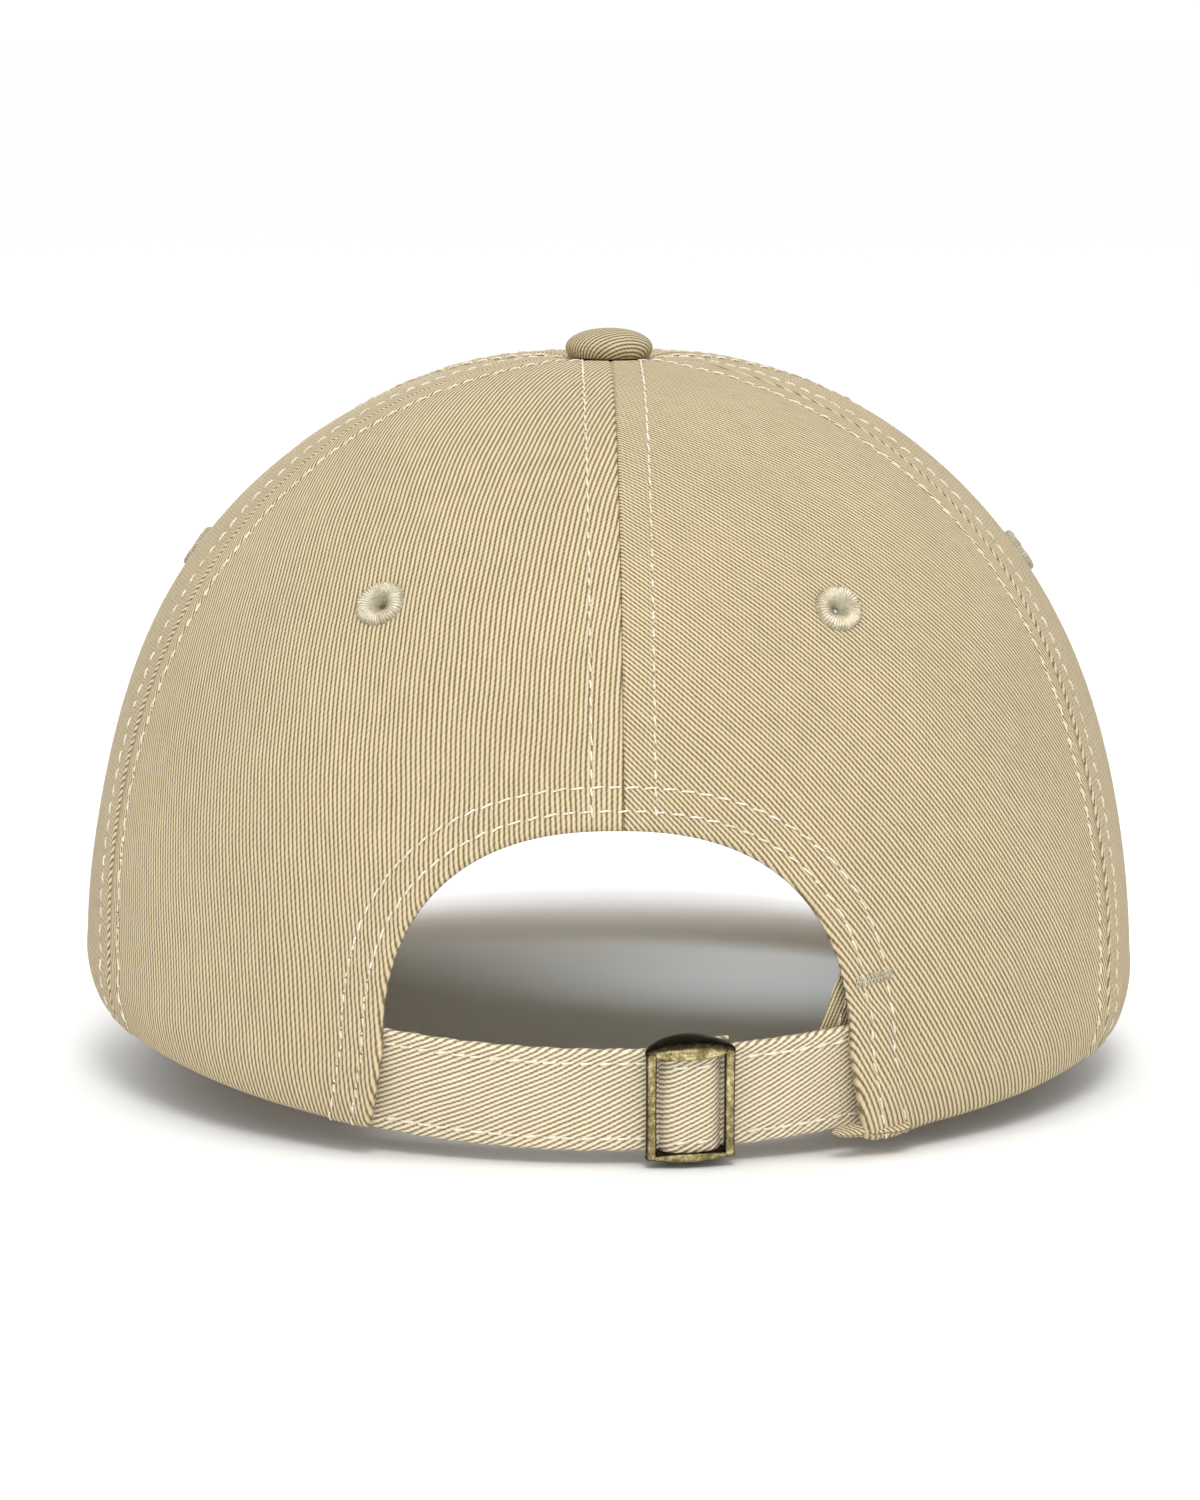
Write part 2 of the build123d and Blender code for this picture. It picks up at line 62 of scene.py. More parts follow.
RIM_LIFT = 10.45
RIM_TILT = 2.4
TILT_FADES = (-0.3, 0.45)
FRONT_SEAM_AZIMUTH = 29.0
BACK_SEAM_AZIMUTH = -88.4
REAR_SEAM_FROM_BACK = (67.0, 24.0, -50.0, 19.0)
PANEL_THICKNESS = 0.8
PANEL_LENGTH = 165.0          # from the rim to the top along the cloth
PANEL_GAP = 0.03              # degrees from a seam to the panel's edge
APEX_RADIUS = 3.0

# Back opening, and its rows of stitches outside the edge
OPENING_CENTRE = 1.2
OPENING_HALF_WIDTH = 40.0
OPENING_TOP = 57.8
OPENING_WAIST = 19.4
OPENING_FLARE = 4.2
OPENING_FLARE_RUN = 27.4
OPENING_SQUARENESS = 2.35
OPENING_ROWS = (3.1, 7.0)
FACING_WIDTH = 8.0

# Eyelets: azimuths, and the section of the ring of thread as distances from the hole's
# middle and heights over the cloth
EYELET_LATITUDE = 0.4526 * 90.0
EYELET_CUT = 1.4
EYELET_THREADS = 42
EYELETS = {
    "eyelet_back_left": -121.0,
    "eyelet_back_right": -58.9,
    "eyelet_side_left": 176.0,
    "eyelet_side_right": 4.0,
    "eyelet_front_left": 121.0,
    "eyelet_front_right": 59.0,
}
EYELET_SECTION = (
    (4.35, -0.3), (4.3, 0.02), (4.05, 0.32), (3.65, 0.5), (3.2, 0.56), (2.75, 0.48),
    (2.3, 0.3), (1.85, 0.04), (1.45, -0.26), (1.05, -0.56), (0.65, -0.86), (0.34, -1.12),
    (0.5, -1.4), (1.6, -1.5), (2.8, -1.42), (3.7, -1.2), (4.25, -0.8),
)

# Button: share of the radius and of the height where its cloth turns under
BUTTON_UNDERSIDE = (
    (0.995, 0.14), (0.98, 0.06), (0.962, -0.01), (0.94, -0.08), (0.9, -0.14), (0.8, -0.18),
    (0.5, -0.18), (0.3, -0.16),
)

# Thread and cloth
STITCH_PITCH = 3.1
STITCH_LENGTH = 2.5
THREAD_RADIUS = 0.205
STRAP_THREAD_RADIUS = 0.23
SEAM_ROW = 5.4
RIB_PITCH = 0.68

# Strap, tab and buckle, on a drum that leans back
STRAP_LEAN = 13.0
STRAP_RADIUS = 90.9
STRAP_THICKNESS = 1.2
STRAP_WIDTH = 18.8
STRAP_HEIGHT = 11.95
STRAP_ENDS = (-34.0, 49.0)
STRAP_ROW = STRAP_WIDTH / 2 - 2.4
TAB_THICKNESS = 1.0
TAB_RADIUS = STRAP_RADIUS - STRAP_THICKNESS / 2 - 0.1 - TAB_THICKNESS
TAB_LOOP_RADIUS = 1.55
TAB_LAP = 8.0
TAB_END = 57.5
POCKET_HALF_WIDTH = 10.7
POCKET_RADIUS = TAB_RADIUS - 0.15
BUCKLE_ANGLE = 8.45
BUCKLE_HALF_WIDTH = 7.75
BUCKLE_HALF_HEIGHT = 11.3
SIDE_BAR_OFFSET = 6.7
SIDE_BAR_RADIUS = 0.95
MIDDLE_BAR_RADIUS = 0.9
END_THICKNESS = 1.9
END_LEVELS = (                # height of each ring of a buckle end, and its size
    (0.0, 0.93), (0.12, 0.985), (0.45, 1.0), (0.8, 0.97), (1.15, 0.88), (1.45, 0.74),
    (1.68, 0.56), (1.83, 0.36), (1.9, 0.14),
)
WINDOW_REACH = math.degrees(5.25 / STRAP_RADIUS)
WINDOW_MIDDLE = BUCKLE_ANGLE + 0.12
WINDOW_RADIUS = STRAP_RADIUS + 0.35
LEAN = math.radians(STRAP_LEAN)
DRUM_UP = np.array([0.0, -math.sin(LEAN), math.cos(LEAN)])
DRUM_BACK = np.array([0.0, -math.cos(LEAN), -math.sin(LEAN)])
DRUM_SIDE = np.array([1.0, 0.0, 0.0])
DRUM_CENTRE = np.array([0.0, -STRAP_RADIUS, STRAP_HEIGHT]) - DRUM_BACK * STRAP_RADIUS

# Sweatband
BAND_ENDS = (-60.0, 240.0)
BAND_RISE = (1.5, 33.0)
BAND_DEPTH = (2.5, 9.4)       # behind the cloth at the front, and at the back

# Visor, and its rows of stitches from the outer edge
VISOR_HALF_WIDTH = 89.0
VISOR_FRONT = 161.0
VISOR_MIDDLE = 56.0
VISOR_SQUARENESS = 2.25
VISOR_ARCH_RADIUS = 115.0
VISOR_SLOPE = 0.178
VISOR_RIM_GAP = 0.21
VISOR_THICKNESS = 3.0
VISOR_ROOT_DEPTH = 1.9
VISOR_ROW_PITCH = 6.0
VISOR_ROWS = tuple(5.0 + VISOR_ROW_PITCH * k for k in range(8))

# Colours, and each panel's rib direction and pitch: the panels are cut at different slants
KHAKI_DARK = (0.270, 0.209, 0.117)
KHAKI_LIGHT = (0.607, 0.506, 0.322)
STRAP_DARK = (0.39, 0.312, 0.186)
STRAP_LIGHT = (0.78, 0.69, 0.51)
PANEL_RIBS = {
    "back_left_panel": (101.0, 0.86),
    "back_right_panel": (131.0, 0.75),
    "side_right_panel": (60.0, 0.75),
    "side_left_panel": (60.0, 0.75),
    "front_right_panel": (60.0, 0.75),
    "front_left_panel": (60.0, 0.75),
}

# Stage and camera: metres and degrees, and the lens in millimetres
FLOOR_REACH = 40.0
SIDE_DIMMING = 1.1
CAMERA_ELEVATION = 8.474
CAMERA_DISTANCE = 0.9162
CAMERA_TARGET = Vector((0.0, 0.0, 0.0582))
CAMERA_LENS = 118.26
CAMERA_SHIFT = -0.006


# ---------------------------------------------------------------- numbers

def share(low, high, part):
    return low + (high - low) * part


def smooth(low, high, value):
    part = np.clip((value - low) / (high - low), 0.0, 1.0)
    return part * part * (3 - 2 * part)


def bump(value, centre, width):
    return np.exp(-(((value - centre) / width) ** 2))


def unit(vectors):
    length = np.linalg.norm(vectors, axis=-1, keepdims=True)
    return vectors / np.maximum(length, 1e-9)


def around(count):
    """Angles evenly spaced round a circle."""
    return np.arange(count) * TURN / count


def travelled(points):
    """Distance from the first point to each point of a line."""
    step = np.linalg.norm(np.diff(points, axis=0), axis=1)
    return np.concatenate([[0.0], np.cumsum(step)])


def along_line(places, travel, points):
    return np.stack([np.interp(places, travel, column) for column in points.T], -1)


# ---------------------------------------------------------------- crown surface

def fullness(azimuth):
    front = np.clip(np.sin(np.radians(azimuth)), 0.0, None)
    return share(SIDE_FULLNESS, FRONT_FULLNESS, front * front)


def rim_xy(azimuth):
    angle = np.radians(azimuth)
    x = CROWN_HALF_WIDTH * (1 - RIM_TUCK) * np.cos(angle)
    y = CROWN_HALF_LENGTH * (1 - RIM_TUCK) * np.sin(angle) + APEX_FORWARD * RIM_TUCK
    return x, y


def rear_rim_height(azimuth):
    forward = np.sin(np.radians(azimuth))
    rise = RIM_LIFT * (1 - np.clip(-forward, 0.0, None) ** 1.5)
    tilt = RIM_TILT * (1 - smooth(*TILT_FADES, forward))
    return RIM_LOW + rise - tilt * np.cos(np.radians(azimuth))


def visor_height(x, y):
    root_x, root_y = rim_xy(FRONT_SEAM_AZIMUTH)
    arch = (root_x ** 2 - x ** 2) / (2 * VISOR_ARCH_RADIUS)
    root_z = rear_rim_height(FRONT_SEAM_AZIMUTH) - VISOR_RIM_GAP
    return root_z + arch - VISOR_SLOPE * (y - root_y)


def rim_height(azimuth):
    front = math.sin(math.radians(FRONT_SEAM_AZIMUTH))
    over_visor = visor_height(*rim_xy(azimuth)) + VISOR_RIM_GAP
    return np.where(np.sin(np.radians(azimuth)) > front, over_visor, rear_rim_height(azimuth))


def base_point(azimuth, latitude):
    """The smooth crown surface, before seams and hems."""
    azimuth, latitude = np.broadcast_arrays(azimuth, latitude)
    angle = np.radians(azimuth)
    power = 2 / fullness(azimuth)
    across = np.clip(np.cos(np.radians(latitude)), 0.0, None) ** power
    up = np.clip(np.sin(np.radians(latitude)), 0.0, None) ** power
    below = np.clip(1 - CROWN_HEIGHT * up / RIM_TUCK_HEIGHT, 0.0, None)
    across = across - RIM_TUCK * below * below
    x = CROWN_HALF_WIDTH * across * np.cos(angle)
    y = CROWN_HALF_LENGTH * across * np.sin(angle) + APEX_FORWARD * (1 - across)
    rim = rim_height(azimuth)
    return np.stack([x, y, rim + (CROWN_HEIGHT - rim) * up], axis=-1)


EYELET_PLACES = [base_point(azimuth, EYELET_LATITUDE) for azimuth in EYELETS.values()]


def base_normal(azimuth, latitude, step=0.2):
    sideways = base_point(azimuth + step, latitude) - base_point(azimuth - step, latitude)
    above = base_point(azimuth, np.minimum(90.0, latitude + step))
    upward = above - base_point(azimuth, np.maximum(0.0, latitude - step))
    return unit(np.cross(sideways, upward))


def plan_radius(azimuth, latitude):
    power = 2 / fullness(azimuth)
    return CROWN_HALF_WIDTH * np.clip(np.cos(np.radians(latitude)), 0.01, None) ** power


def latitude_at_rise(azimuth, rise):
    part = rise / (CROWN_HEIGHT - rim_height(azimuth))
    return np.degrees(np.arcsin(np.clip(part, 0.0, 1.0) ** (fullness(azimuth) / 2)))


def latitude_at_radius(azimuth, radius):
    return np.degrees(np.arccos((radius / CROWN_HALF_WIDTH) ** (fullness(azimuth) / 2)))


def rear_seam(latitude):
    start, slope, bend, turn = REAR_SEAM_FROM_BACK
    part = latitude / 90.0
    return -90 + start + slope * part + bend * part ** 2 + turn * part ** 3


def straight_seam(azimuth):
    return lambda latitude: azimuth + 0.0 * latitude


SEAMS = {
    "centre_back": straight_seam(BACK_SEAM_AZIMUTH),
    "rear_right": rear_seam,
    "front_right": straight_seam(FRONT_SEAM_AZIMUTH),
    "centre_front": straight_seam(90.0),
    "front_left": straight_seam(180.0 - FRONT_SEAM_AZIMUTH),
    "rear_left": lambda latitude: 180.0 - rear_seam(latitude),
}


def leg_flare(z):
    """How far the opening's leg stands out at a height below its waist."""
    return OPENING_FLARE * np.clip(OPENING_WAIST - z, 0.0, None) / OPENING_FLARE_RUN


def arch_distance(x, z):
    """How far outside the back opening a point is, seen square on."""
    across = np.abs(x - OPENING_CENTRE)
    rise = OPENING_TOP - OPENING_WAIST
    up = np.clip(z - OPENING_WAIST, 0.0, None)
    ring = (
        (across / OPENING_HALF_WIDTH) ** OPENING_SQUARENESS + (up / rise) ** OPENING_SQUARENESS
    ) ** (1 / OPENING_SQUARENESS)
    above = np.sqrt(across ** 2 + up ** 2) * (1 - 1 / np.maximum(ring, 0.05))
    beside = across - OPENING_HALF_WIDTH - leg_flare(z)
    return np.where(z > OPENING_WAIST, above, beside)


def arch_curve(angle, offset=0.0):
    """The opening's arch, or a line outside it, from the right waist to the left."""
    power = 2 / OPENING_SQUARENESS
    x = (OPENING_HALF_WIDTH + offset) * np.abs(np.cos(angle)) ** power * np.sign(np.cos(angle))
    z = OPENING_WAIST + (OPENING_TOP - OPENING_WAIST + offset) * np.sin(angle) ** power
    return x, z


def seam_turn(azimuth, middle):
    """Signed degrees from a middle azimuth, the short way round."""
    return (azimuth - middle + 180.0) % 360.0 - 180.0


def seam_relief(azimuth, latitude, radius):
    """Raised allowances, a groove and puckered rows of stitches at every seam."""
    along = PANEL_LENGTH * latitude / 90.0
    height = np.zeros_like(radius)
    for number, seam in enumerate(SEAMS.values()):
        distance = np.abs(np.radians(seam_turn(azimuth, seam(latitude))) * radius)
        allowance = 0.24 * (1 - smooth(4.9, 6.6, distance))
        groove = -0.42 * bump(distance, 0.0, 0.3)
        row = -0.2 * bump(distance, SEAM_ROW, 0.6)
        phase = along / 7.1 + 1.7 * np.sin(along / 19.0 + number)
        pucker = 0.075 * np.sin(TURN * phase) * bump(distance, SEAM_ROW, 3.2)
        height += allowance + groove + row + pucker
    return height * smooth(5.0, 14.0, radius)


def opening_relief(x, z):
    """The turned hem round the opening, its rows of stitches and two uneven places."""
    edge = arch_distance(x, z)
    hem = 0.3 * (1 - smooth(6.2, 8.4, edge)) - 0.7 * bump(edge, 0.0, 0.45)
    rows = -0.2 * sum(bump(edge, row, 0.6) for row in OPENING_ROWS)
    ripple = 0.12 * np.sin(TURN * (x + 1.3 * z) / 8.3) * bump(edge, 3.5, 4.0)
    # A soft dent beside the opening's left shoulder, and a fuller right leg over the slot.
    dent = -0.9 * bump(x, -50.0, 7.0) * bump(z, 30.0, 16.0)
    right_leg = (1 - smooth(4.0, 13.0, edge)) * (1 - smooth(24.5, 28.5, z)) * (x > 0)
    return np.where(z < 90, hem + rows + ripple + dent + 1.1 * right_leg, 0.0)


def relief(azimuth, latitude):
    """Height of the cloth over the smooth surface: seams, hems and gentle unevenness."""
    azimuth, latitude = np.broadcast_arrays(azimuth, latitude)
    point = base_point(azimuth, latitude)
    x, y, z = np.moveaxis(point, -1, 0)
    radius = plan_radius(azimuth, latitude)
    height = seam_relief(azimuth, latitude, radius)
    height += np.where(y < 0, opening_relief(x, z), 0.0)
    rise = z - rim_height(azimuth)
    height += -0.6 * bump(rise, 0.0, 0.6) + 0.12 * (1 - smooth(9.0, 12.0, rise))
    turn = np.radians(azimuth)
    soft = np.sin(2 * turn + z / 23.0) * np.sin(z / 17.0 + 1.2) + 0.6 * np.sin(5 * turn - z / 12.0)
    height += 0.28 * soft * smooth(0.0, 30.0, rise) * smooth(10.0, 60.0, radius)
    # The cloth sinks under the button and round each eyelet.
    height += -0.9 * (1 - smooth(6.0, 15.0, radius))
    for place in EYELET_PLACES:
        reach = np.linalg.norm(point - place, axis=-1)
        height += -0.2 * (1 - smooth(3.4, 5.2, reach)) - 0.5 * (1 - smooth(1.6, 2.4, reach))
    return height


def cloth_line(azimuth, latitude):
    """Points on the outside of the cloth, with their normals."""
    normal = base_normal(azimuth, latitude)
    return base_point(azimuth, latitude) + normal * relief(azimuth, latitude)[..., None], normal


def under_crown(azimuth, latitude, *depths):
    """Sheets at some depths under the smooth surface, and its normals."""
    base = base_point(azimuth, latitude)
    normal = base_normal(azimuth, latitude)
    sheets = [base - normal * np.broadcast_to(depth, base.shape[:-1])[..., None] for depth in depths]
    return *sheets, normal


# ---------------------------------------------------------------- meshes

def show(mesh, material, node=None, body="crown"):
    """Links a mesh as a piece that rides on a body and may stand in for a CAD node."""
    piece = bpy.data.objects.new(mesh.name, mesh)
    bpy.context.scene.collection.objects.link(piece)
    mesh.materials.append(material)
    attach(piece, body)
    if node:
        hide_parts(node)


def make_mesh(name, vertices, faces, uvs=None, smooth_faces=True):
    """A mesh from millimetre vertices; uvs are per vertex, in millimetres of cloth."""
    vertices = np.asarray(vertices, float).reshape(-1, 3)
    mesh = bpy.data.meshes.new(name)
    mesh.from_pydata((vertices * MM).tolist(), [], faces)
    mesh.validate()
    if smooth_faces:
        mesh.shade_smooth()
    if uvs is not None:
        layer = mesh.uv_layers.new(name="cloth")
        corner = np.empty(len(mesh.loops), dtype=np.int32)
        mesh.loops.foreach_get("vertex_index", corner)
        uvs = np.asarray(uvs, np.float32).reshape(-1, 2)
        layer.data.foreach_set("uv", uvs[corner].ravel())
    mesh.update()
    return mesh


def hole_walls(gone, columns, count):
    """Walls round the cells that are left out of a sheet."""
    walls = []
    for row, column in zip(*np.nonzero(gone)):
        a = row * columns + column
        corners = (a, a + 1, a + 1 + columns, a + columns)
        beside = ((row - 1, column), (row, column + 1), (row + 1, column), (row, column - 1))
        for k, place in enumerate(beside):
            if not gone[place]:
                p, q = corners[k], corners[(k + 1) % 4]
                walls.append((p, q, q + count, p + count))
    return walls


def shell(name, outer, inner, uv, gone=None):
    """A closed sheet between two matching grids of points, with its four edges.

    gone marks the cells that a hole takes out of the sheet.
    """
    rows, columns = outer.shape[:2]
    count = rows * columns
    vertices = np.concatenate([outer.reshape(-1, 3), inner.reshape(-1, 3)])
    if gone is None:
        gone = np.zeros((rows - 1, columns - 1), bool)
    a = (np.arange(rows - 1)[:, None] * columns + np.arange(columns - 1))[~gone]
    front = np.stack([a, a + 1, a + columns + 1, a + columns], -1)
    border = np.concatenate([
        np.arange(columns),
        np.arange(2 * columns - 1, count, columns),
        np.arange(count - 2, count - columns - 1, -1),
        np.arange(count - 2 * columns, 0, -columns),
    ])
    ahead = np.roll(border, -1)
    edges = np.stack([ahead, border, border + count, ahead + count], -1)
    walls = np.array(hole_walls(gone, columns, count), int).reshape(-1, 4)
    faces = np.concatenate([front, front[:, ::-1] + count, walls, edges])
    used, faces = np.unique(faces, return_inverse=True)
    flat = np.concatenate([uv.reshape(-1, 2)] * 2)
    return make_mesh(name, vertices[used], faces.reshape(-1, 4).tolist(), flat[used])


def ring_faces(rings, sides, flip=False, closed=False):
    """Faces between rings of vertices, with a cap on each end unless the rings close up."""
    faces = []
    for row in range(rings if closed else rings - 1):
        here, above = row * sides, (row + 1) % rings * sides
        for k in range(sides):
            after = (k + 1) % sides
            faces.append((here + k, here + after, above + after, above + k))
    if not closed:
        faces.append(tuple(range(sides))[::-1])
        faces.append(tuple((rings - 1) * sides + k for k in range(sides)))
    return [(face[0], *face[:0:-1]) for face in faces] if flip else faces


def tube(path, radius, sides):
    """Vertices and faces of a round tube along a path of points."""
    along = unit(np.gradient(path, axis=0))
    side = np.cross(along, UP)
    weak = np.linalg.norm(side, axis=1) < 0.2
    side[weak] = np.cross(along[weak], np.array([0.0, 1.0, 0.0]))
    side = unit(side)
    other = np.cross(side, along)
    turn = around(sides)[None, :, None]
    radius = np.broadcast_to(radius, (len(path),))[:, None, None]
    ring = path[:, None] + (side[:, None] * np.cos(turn) + other[:, None] * np.sin(turn)) * radius
    return ring.reshape(-1, 3), ring_faces(len(path), sides)


class Pile:
    """Collects many small pieces into one mesh, with its own random numbers."""

    def __init__(self, seed=0):
        self.vertices = []
        self.faces = []
        self.count = 0
        self.rng = np.random.default_rng(seed)

    def add(self, vertices, faces):
        self.vertices.append(vertices)
        self.faces += [tuple(self.count + k for k in face) for face in faces]
        self.count += len(vertices)

    def mesh(self, name):
        return make_mesh(name, np.concatenate(self.vertices), self.faces)

    def show(self, name, material, body="crown"):
        show(self.mesh(name), material, body=body)


# ---------------------------------------------------------------- stitches

def resample(points, normals, pitch):
    """Evenly spaced places along a line of points, with normals and directions."""
    travel = travelled(points)
    count = max(1, int(travel[-1] / pitch))
    places = (np.arange(count) + 0.5) * travel[-1] / count
    place = along_line(places, travel, points)
    normal = along_line(places, travel, normals)
    ahead = along_line(places + 0.4, travel, points)
    behind = along_line(places - 0.4, travel, points)
    return place, unit(normal), unit(ahead - behind)


def stitch_row(pile, points, normals, pitch=STITCH_PITCH, radius=THREAD_RADIUS, slant=7.0):
    """A row of lock stitches: each one a short arc of thread that dives in at its ends."""
    place, normal, along = resample(points, normals, pitch)
    side = np.cross(normal, along)
    stations = np.linspace(-1.0, 1.0, 7)
    reach = np.abs(stations)
    profile = radius * (1.05 - 0.75 * reach ** 2.6 - 1.5 * reach ** 6)
    thickness = radius * (1 - 0.45 * reach ** 5)
    for k in range(len(place)):
        lean = math.radians(slant + pile.rng.uniform(-4.0, 4.0))
        half = STITCH_LENGTH / 2 * pile.rng.uniform(0.92, 1.05)
        run = along[k] * math.cos(lean) + side[k] * math.sin(lean)
        path = place[k] + run * (stations * half)[:, None] + normal[k] * profile[:, None]
        pile.add(*tube(path, thickness, sides=6))


# ---------------------------------------------------------------- materials

class Value:
    """A number, vector or colour inside a node tree, which arithmetic can combine."""

    def __init__(self, tree, output):
        self.tree = tree
        self.output = output

    def __add__(self, other):
        return maths(self.tree, "ADD", self, other)

    def __mul__(self, other):
        return maths(self.tree, "MULTIPLY", self, other)

    def __truediv__(self, other):
        return maths(self.tree, "DIVIDE", self, other)

    def __pow__(self, other):
        return maths(self.tree, "POWER", self, other)

    def sine(self):
        return maths(self.tree, "SINE", self)

    def wave(self):
        """A sine of 0 to 1."""
        return self.sine() * 0.5 + 0.5

    def swing(self, amount):
        """A noise value of 0 to 1 as a swing of amount round zero."""
        return maths(self.tree, "SUBTRACT", self, 0.5) * amount


def fill(tree, socket, value):
    """Links a value to a socket, or sets the socket to a number, vector or colour."""
    if isinstance(value, Value):
        tree.links.new(value.output, socket)
    elif isinstance(value, tuple):
        socket.default_value = (*value, 1.0)
    else:
        socket.default_value = value


def node(tree, kind, *values, **settings):
    """A new node; settings name its attributes, or its inputs with _ for a space."""
    made = tree.nodes.new("ShaderNode" + kind)
    for key, setting in settings.items():
        if hasattr(made, key):
            setattr(made, key, setting)
        else:
            fill(tree, made.inputs[key.replace("_", " ")], setting)
    for socket, value in zip(made.inputs, values):
        fill(tree, socket, value)
    return made


def maths(tree, operation, *values):
    return Value(tree, node(tree, "Math", *values, operation=operation).outputs[0])


class Look:
    """A material while its nodes are being joined."""

    def __init__(self, name):
        self.material = bpy.data.materials.new(name)
        self.material.use_nodes = True
        self.tree = self.material.node_tree
        self.shader = self.tree.nodes["Principled BSDF"]

    def value(self, output, kind, *values, **settings):
        return Value(self.tree, node(self.tree, kind, *values, **settings).outputs[output])

    def place(self):
        return self.value("Object", "TexCoord")

    def cloth(self):
        """The cloth coordinate, and its two parts."""
        vector = self.value(0, "UVMap", uv_map="cloth")
        parts = node(self.tree, "SeparateXYZ", vector).outputs
        return vector, Value(self.tree, parts[0]), Value(self.tree, parts[1])

    def noise(self, vector, scale, detail=2.0, roughness=0.5):
        return self.value("Fac", "TexNoise", Vector=vector, Scale=scale, Detail=detail, Roughness=roughness)

    def ramp(self, value, *stops):
        made = node(self.tree, "ValToRGB", value)
        elements = made.color_ramp.elements
        while len(elements) < len(stops):
            elements.new(0.5)
        for element, (position, color) in zip(elements, stops):
            element.position = position
            element.color = (*color, 1.0)
        return Value(self.tree, made.outputs["Color"])

    def mix(self, factor, first, second, blend="MIX"):
        made = node(self.tree, "Mix", factor, data_type="RGBA", blend_type=blend)
        fill(self.tree, made.inputs[6], first)
        fill(self.tree, made.inputs[7], second)
        return Value(self.tree, made.outputs[2])

    def finish(self, colour, roughness, relief=None, **settings):
        """Sets the shader; relief is a height, a strength and a distance in millimetres."""
        for key, setting in dict(Base_Color=colour, Roughness=roughness, **settings).items():
            fill(self.tree, self.shader.inputs[key.replace("_", " ")], setting)
        if relief:
            height, strength, distance = relief
            tooth = self.value(0, "Bump", Height=height, Strength=strength, Distance=distance * MM)
            fill(self.tree, self.shader.inputs["Normal"], tooth)
        return self.material


def scaled(color, amount):
    return tuple(min(1.0, channel * amount) for channel in color)


def turned(u, v, degrees):
    """The cloth coordinate along a direction, degrees anticlockwise from u."""
    angle = math.radians(degrees)
    return u * math.cos(angle) + v * math.sin(angle)


def twill(name, rib_degrees, dark=KHAKI_DARK, light=KHAKI_LIGHT, pitch=RIB_PITCH, depth=0.2):
    """Cotton twill.  rib_degrees is the rib's direction on the cloth, from its u axis."""
    look = Look(name)
    cloth, u, v = look.cloth()
    waver = look.noise(cloth, 0.05, 1.0).swing(1.3)
    jitter = look.noise(cloth, 0.8).swing(0.16)
    across = turned(u, v, rib_degrees + 90) + (waver + jitter)
    along = turned(u, v, rib_degrees)
    ribs = (across * (TURN / pitch)).wave()
    # Each rib is a row of short slanted floats of twisted yarn.
    floats = (along * (TURN / (pitch * 1.15)) + across * (TURN / (pitch * 1.9))).wave()
    height = ribs ** 0.7 * 0.84 + floats * 0.16
    # Uneven yarn: streaks along the ribs, faint mottling and fine grain.
    streak = look.noise(look.value(0, "CombineXYZ", across * 1.5, along * 0.2), 1.0).swing(0.34)
    mottle = look.noise(cloth, 0.03)
    grain = look.noise(cloth, 2.4, 2.0, 0.65)
    # Colour follows the rib height: the yarn's own streaks and grain, with painted shade darkening the
    # valleys and a painted highlight lightening the crests.
    colour = look.ramp(
        height + (streak + grain.swing(0.34)),
        (0.0, scaled(dark, 0.62)),
        (0.34, dark),
        (0.62, light),
        (1.0, scaled(light, 1.22)),
    )
    warm = look.ramp(mottle, (0.35, (0.965, 0.96, 0.955)), (0.65, (1.02, 1.015, 1.01)))
    return look.finish(
        look.mix(1.0, colour, warm, "MULTIPLY"), 0.88, (height + grain * 0.4, 0.8, depth),
        Sheen_Weight=0.06, Sheen_Roughness=0.5, Specular_IOR_Level=0.15,
    )


def thread(name, dark, light):
    """Twisted sewing thread, coloured in object space."""
    look = Look(name)
    place = look.place()
    fine = look.noise(place, 2600.0, 2.0, 0.7)
    broad = look.noise(place, 120.0, 1.0)
    colour = look.ramp(fine * 0.7 + broad * 0.3, (0.3, dark), (0.62, light))
    return look.finish(colour, 0.7, (fine, 0.5, 0.08), Sheen_Weight=0.1)


def eyelet_thread(name, dark, light):
    """Thread wound round an eyelet; its u coordinate is the distance from the hole's middle."""
    look = Look(name)
    place = look.place()
    reach, strand = look.cloth()[1:]
    fine = look.noise(place, 2200.0, 2.0, 0.7)
    broad = look.noise(place, 500.0, 1.0)
    # Painted shade: the thread darkens down the funnel towards the hole and a little at the ring's outer
    # edge, and stays full bright over the crest.
    painted_ring_shade = look.ramp(
        reach / 4.2,
        (0.15, (0.42, 0.42, 0.38)),
        (0.4, (0.72, 0.72, 0.67)),
        (0.62, (1.0, 1.0, 1.0)),
        (0.84, (1.0, 1.0, 1.0)),
        (0.97, (0.62, 0.63, 0.60)),
    )
    colour = look.ramp(fine * 0.6 + broad * 0.4, (0.34, dark), (0.6, light))
    # Painted shade also darkens the grooves between the wound strands.
    colour = look.mix(strand * 0.5, scaled(dark, 0.8), colour)
    return look.finish(look.mix(1.0, colour, painted_ring_shade, "MULTIPLY"), 0.65, (fine, 0.5, 0.08))


def woven(name, dark, light, pitch=0.9):
    """Plain weave for tapes and backing."""
    look = Look(name)
    cloth, u, v = look.cloth()
    weave = (u * (TURN / pitch)).sine() * (v * (TURN / pitch)).sine() * 0.5 + 0.5
    tone = weave * 0.6 + look.noise(cloth, 2.0) * 0.4
    return look.finish(look.ramp(tone, (0.25, dark), (0.75, light)), 0.92, (tone, 0.6, 0.12))


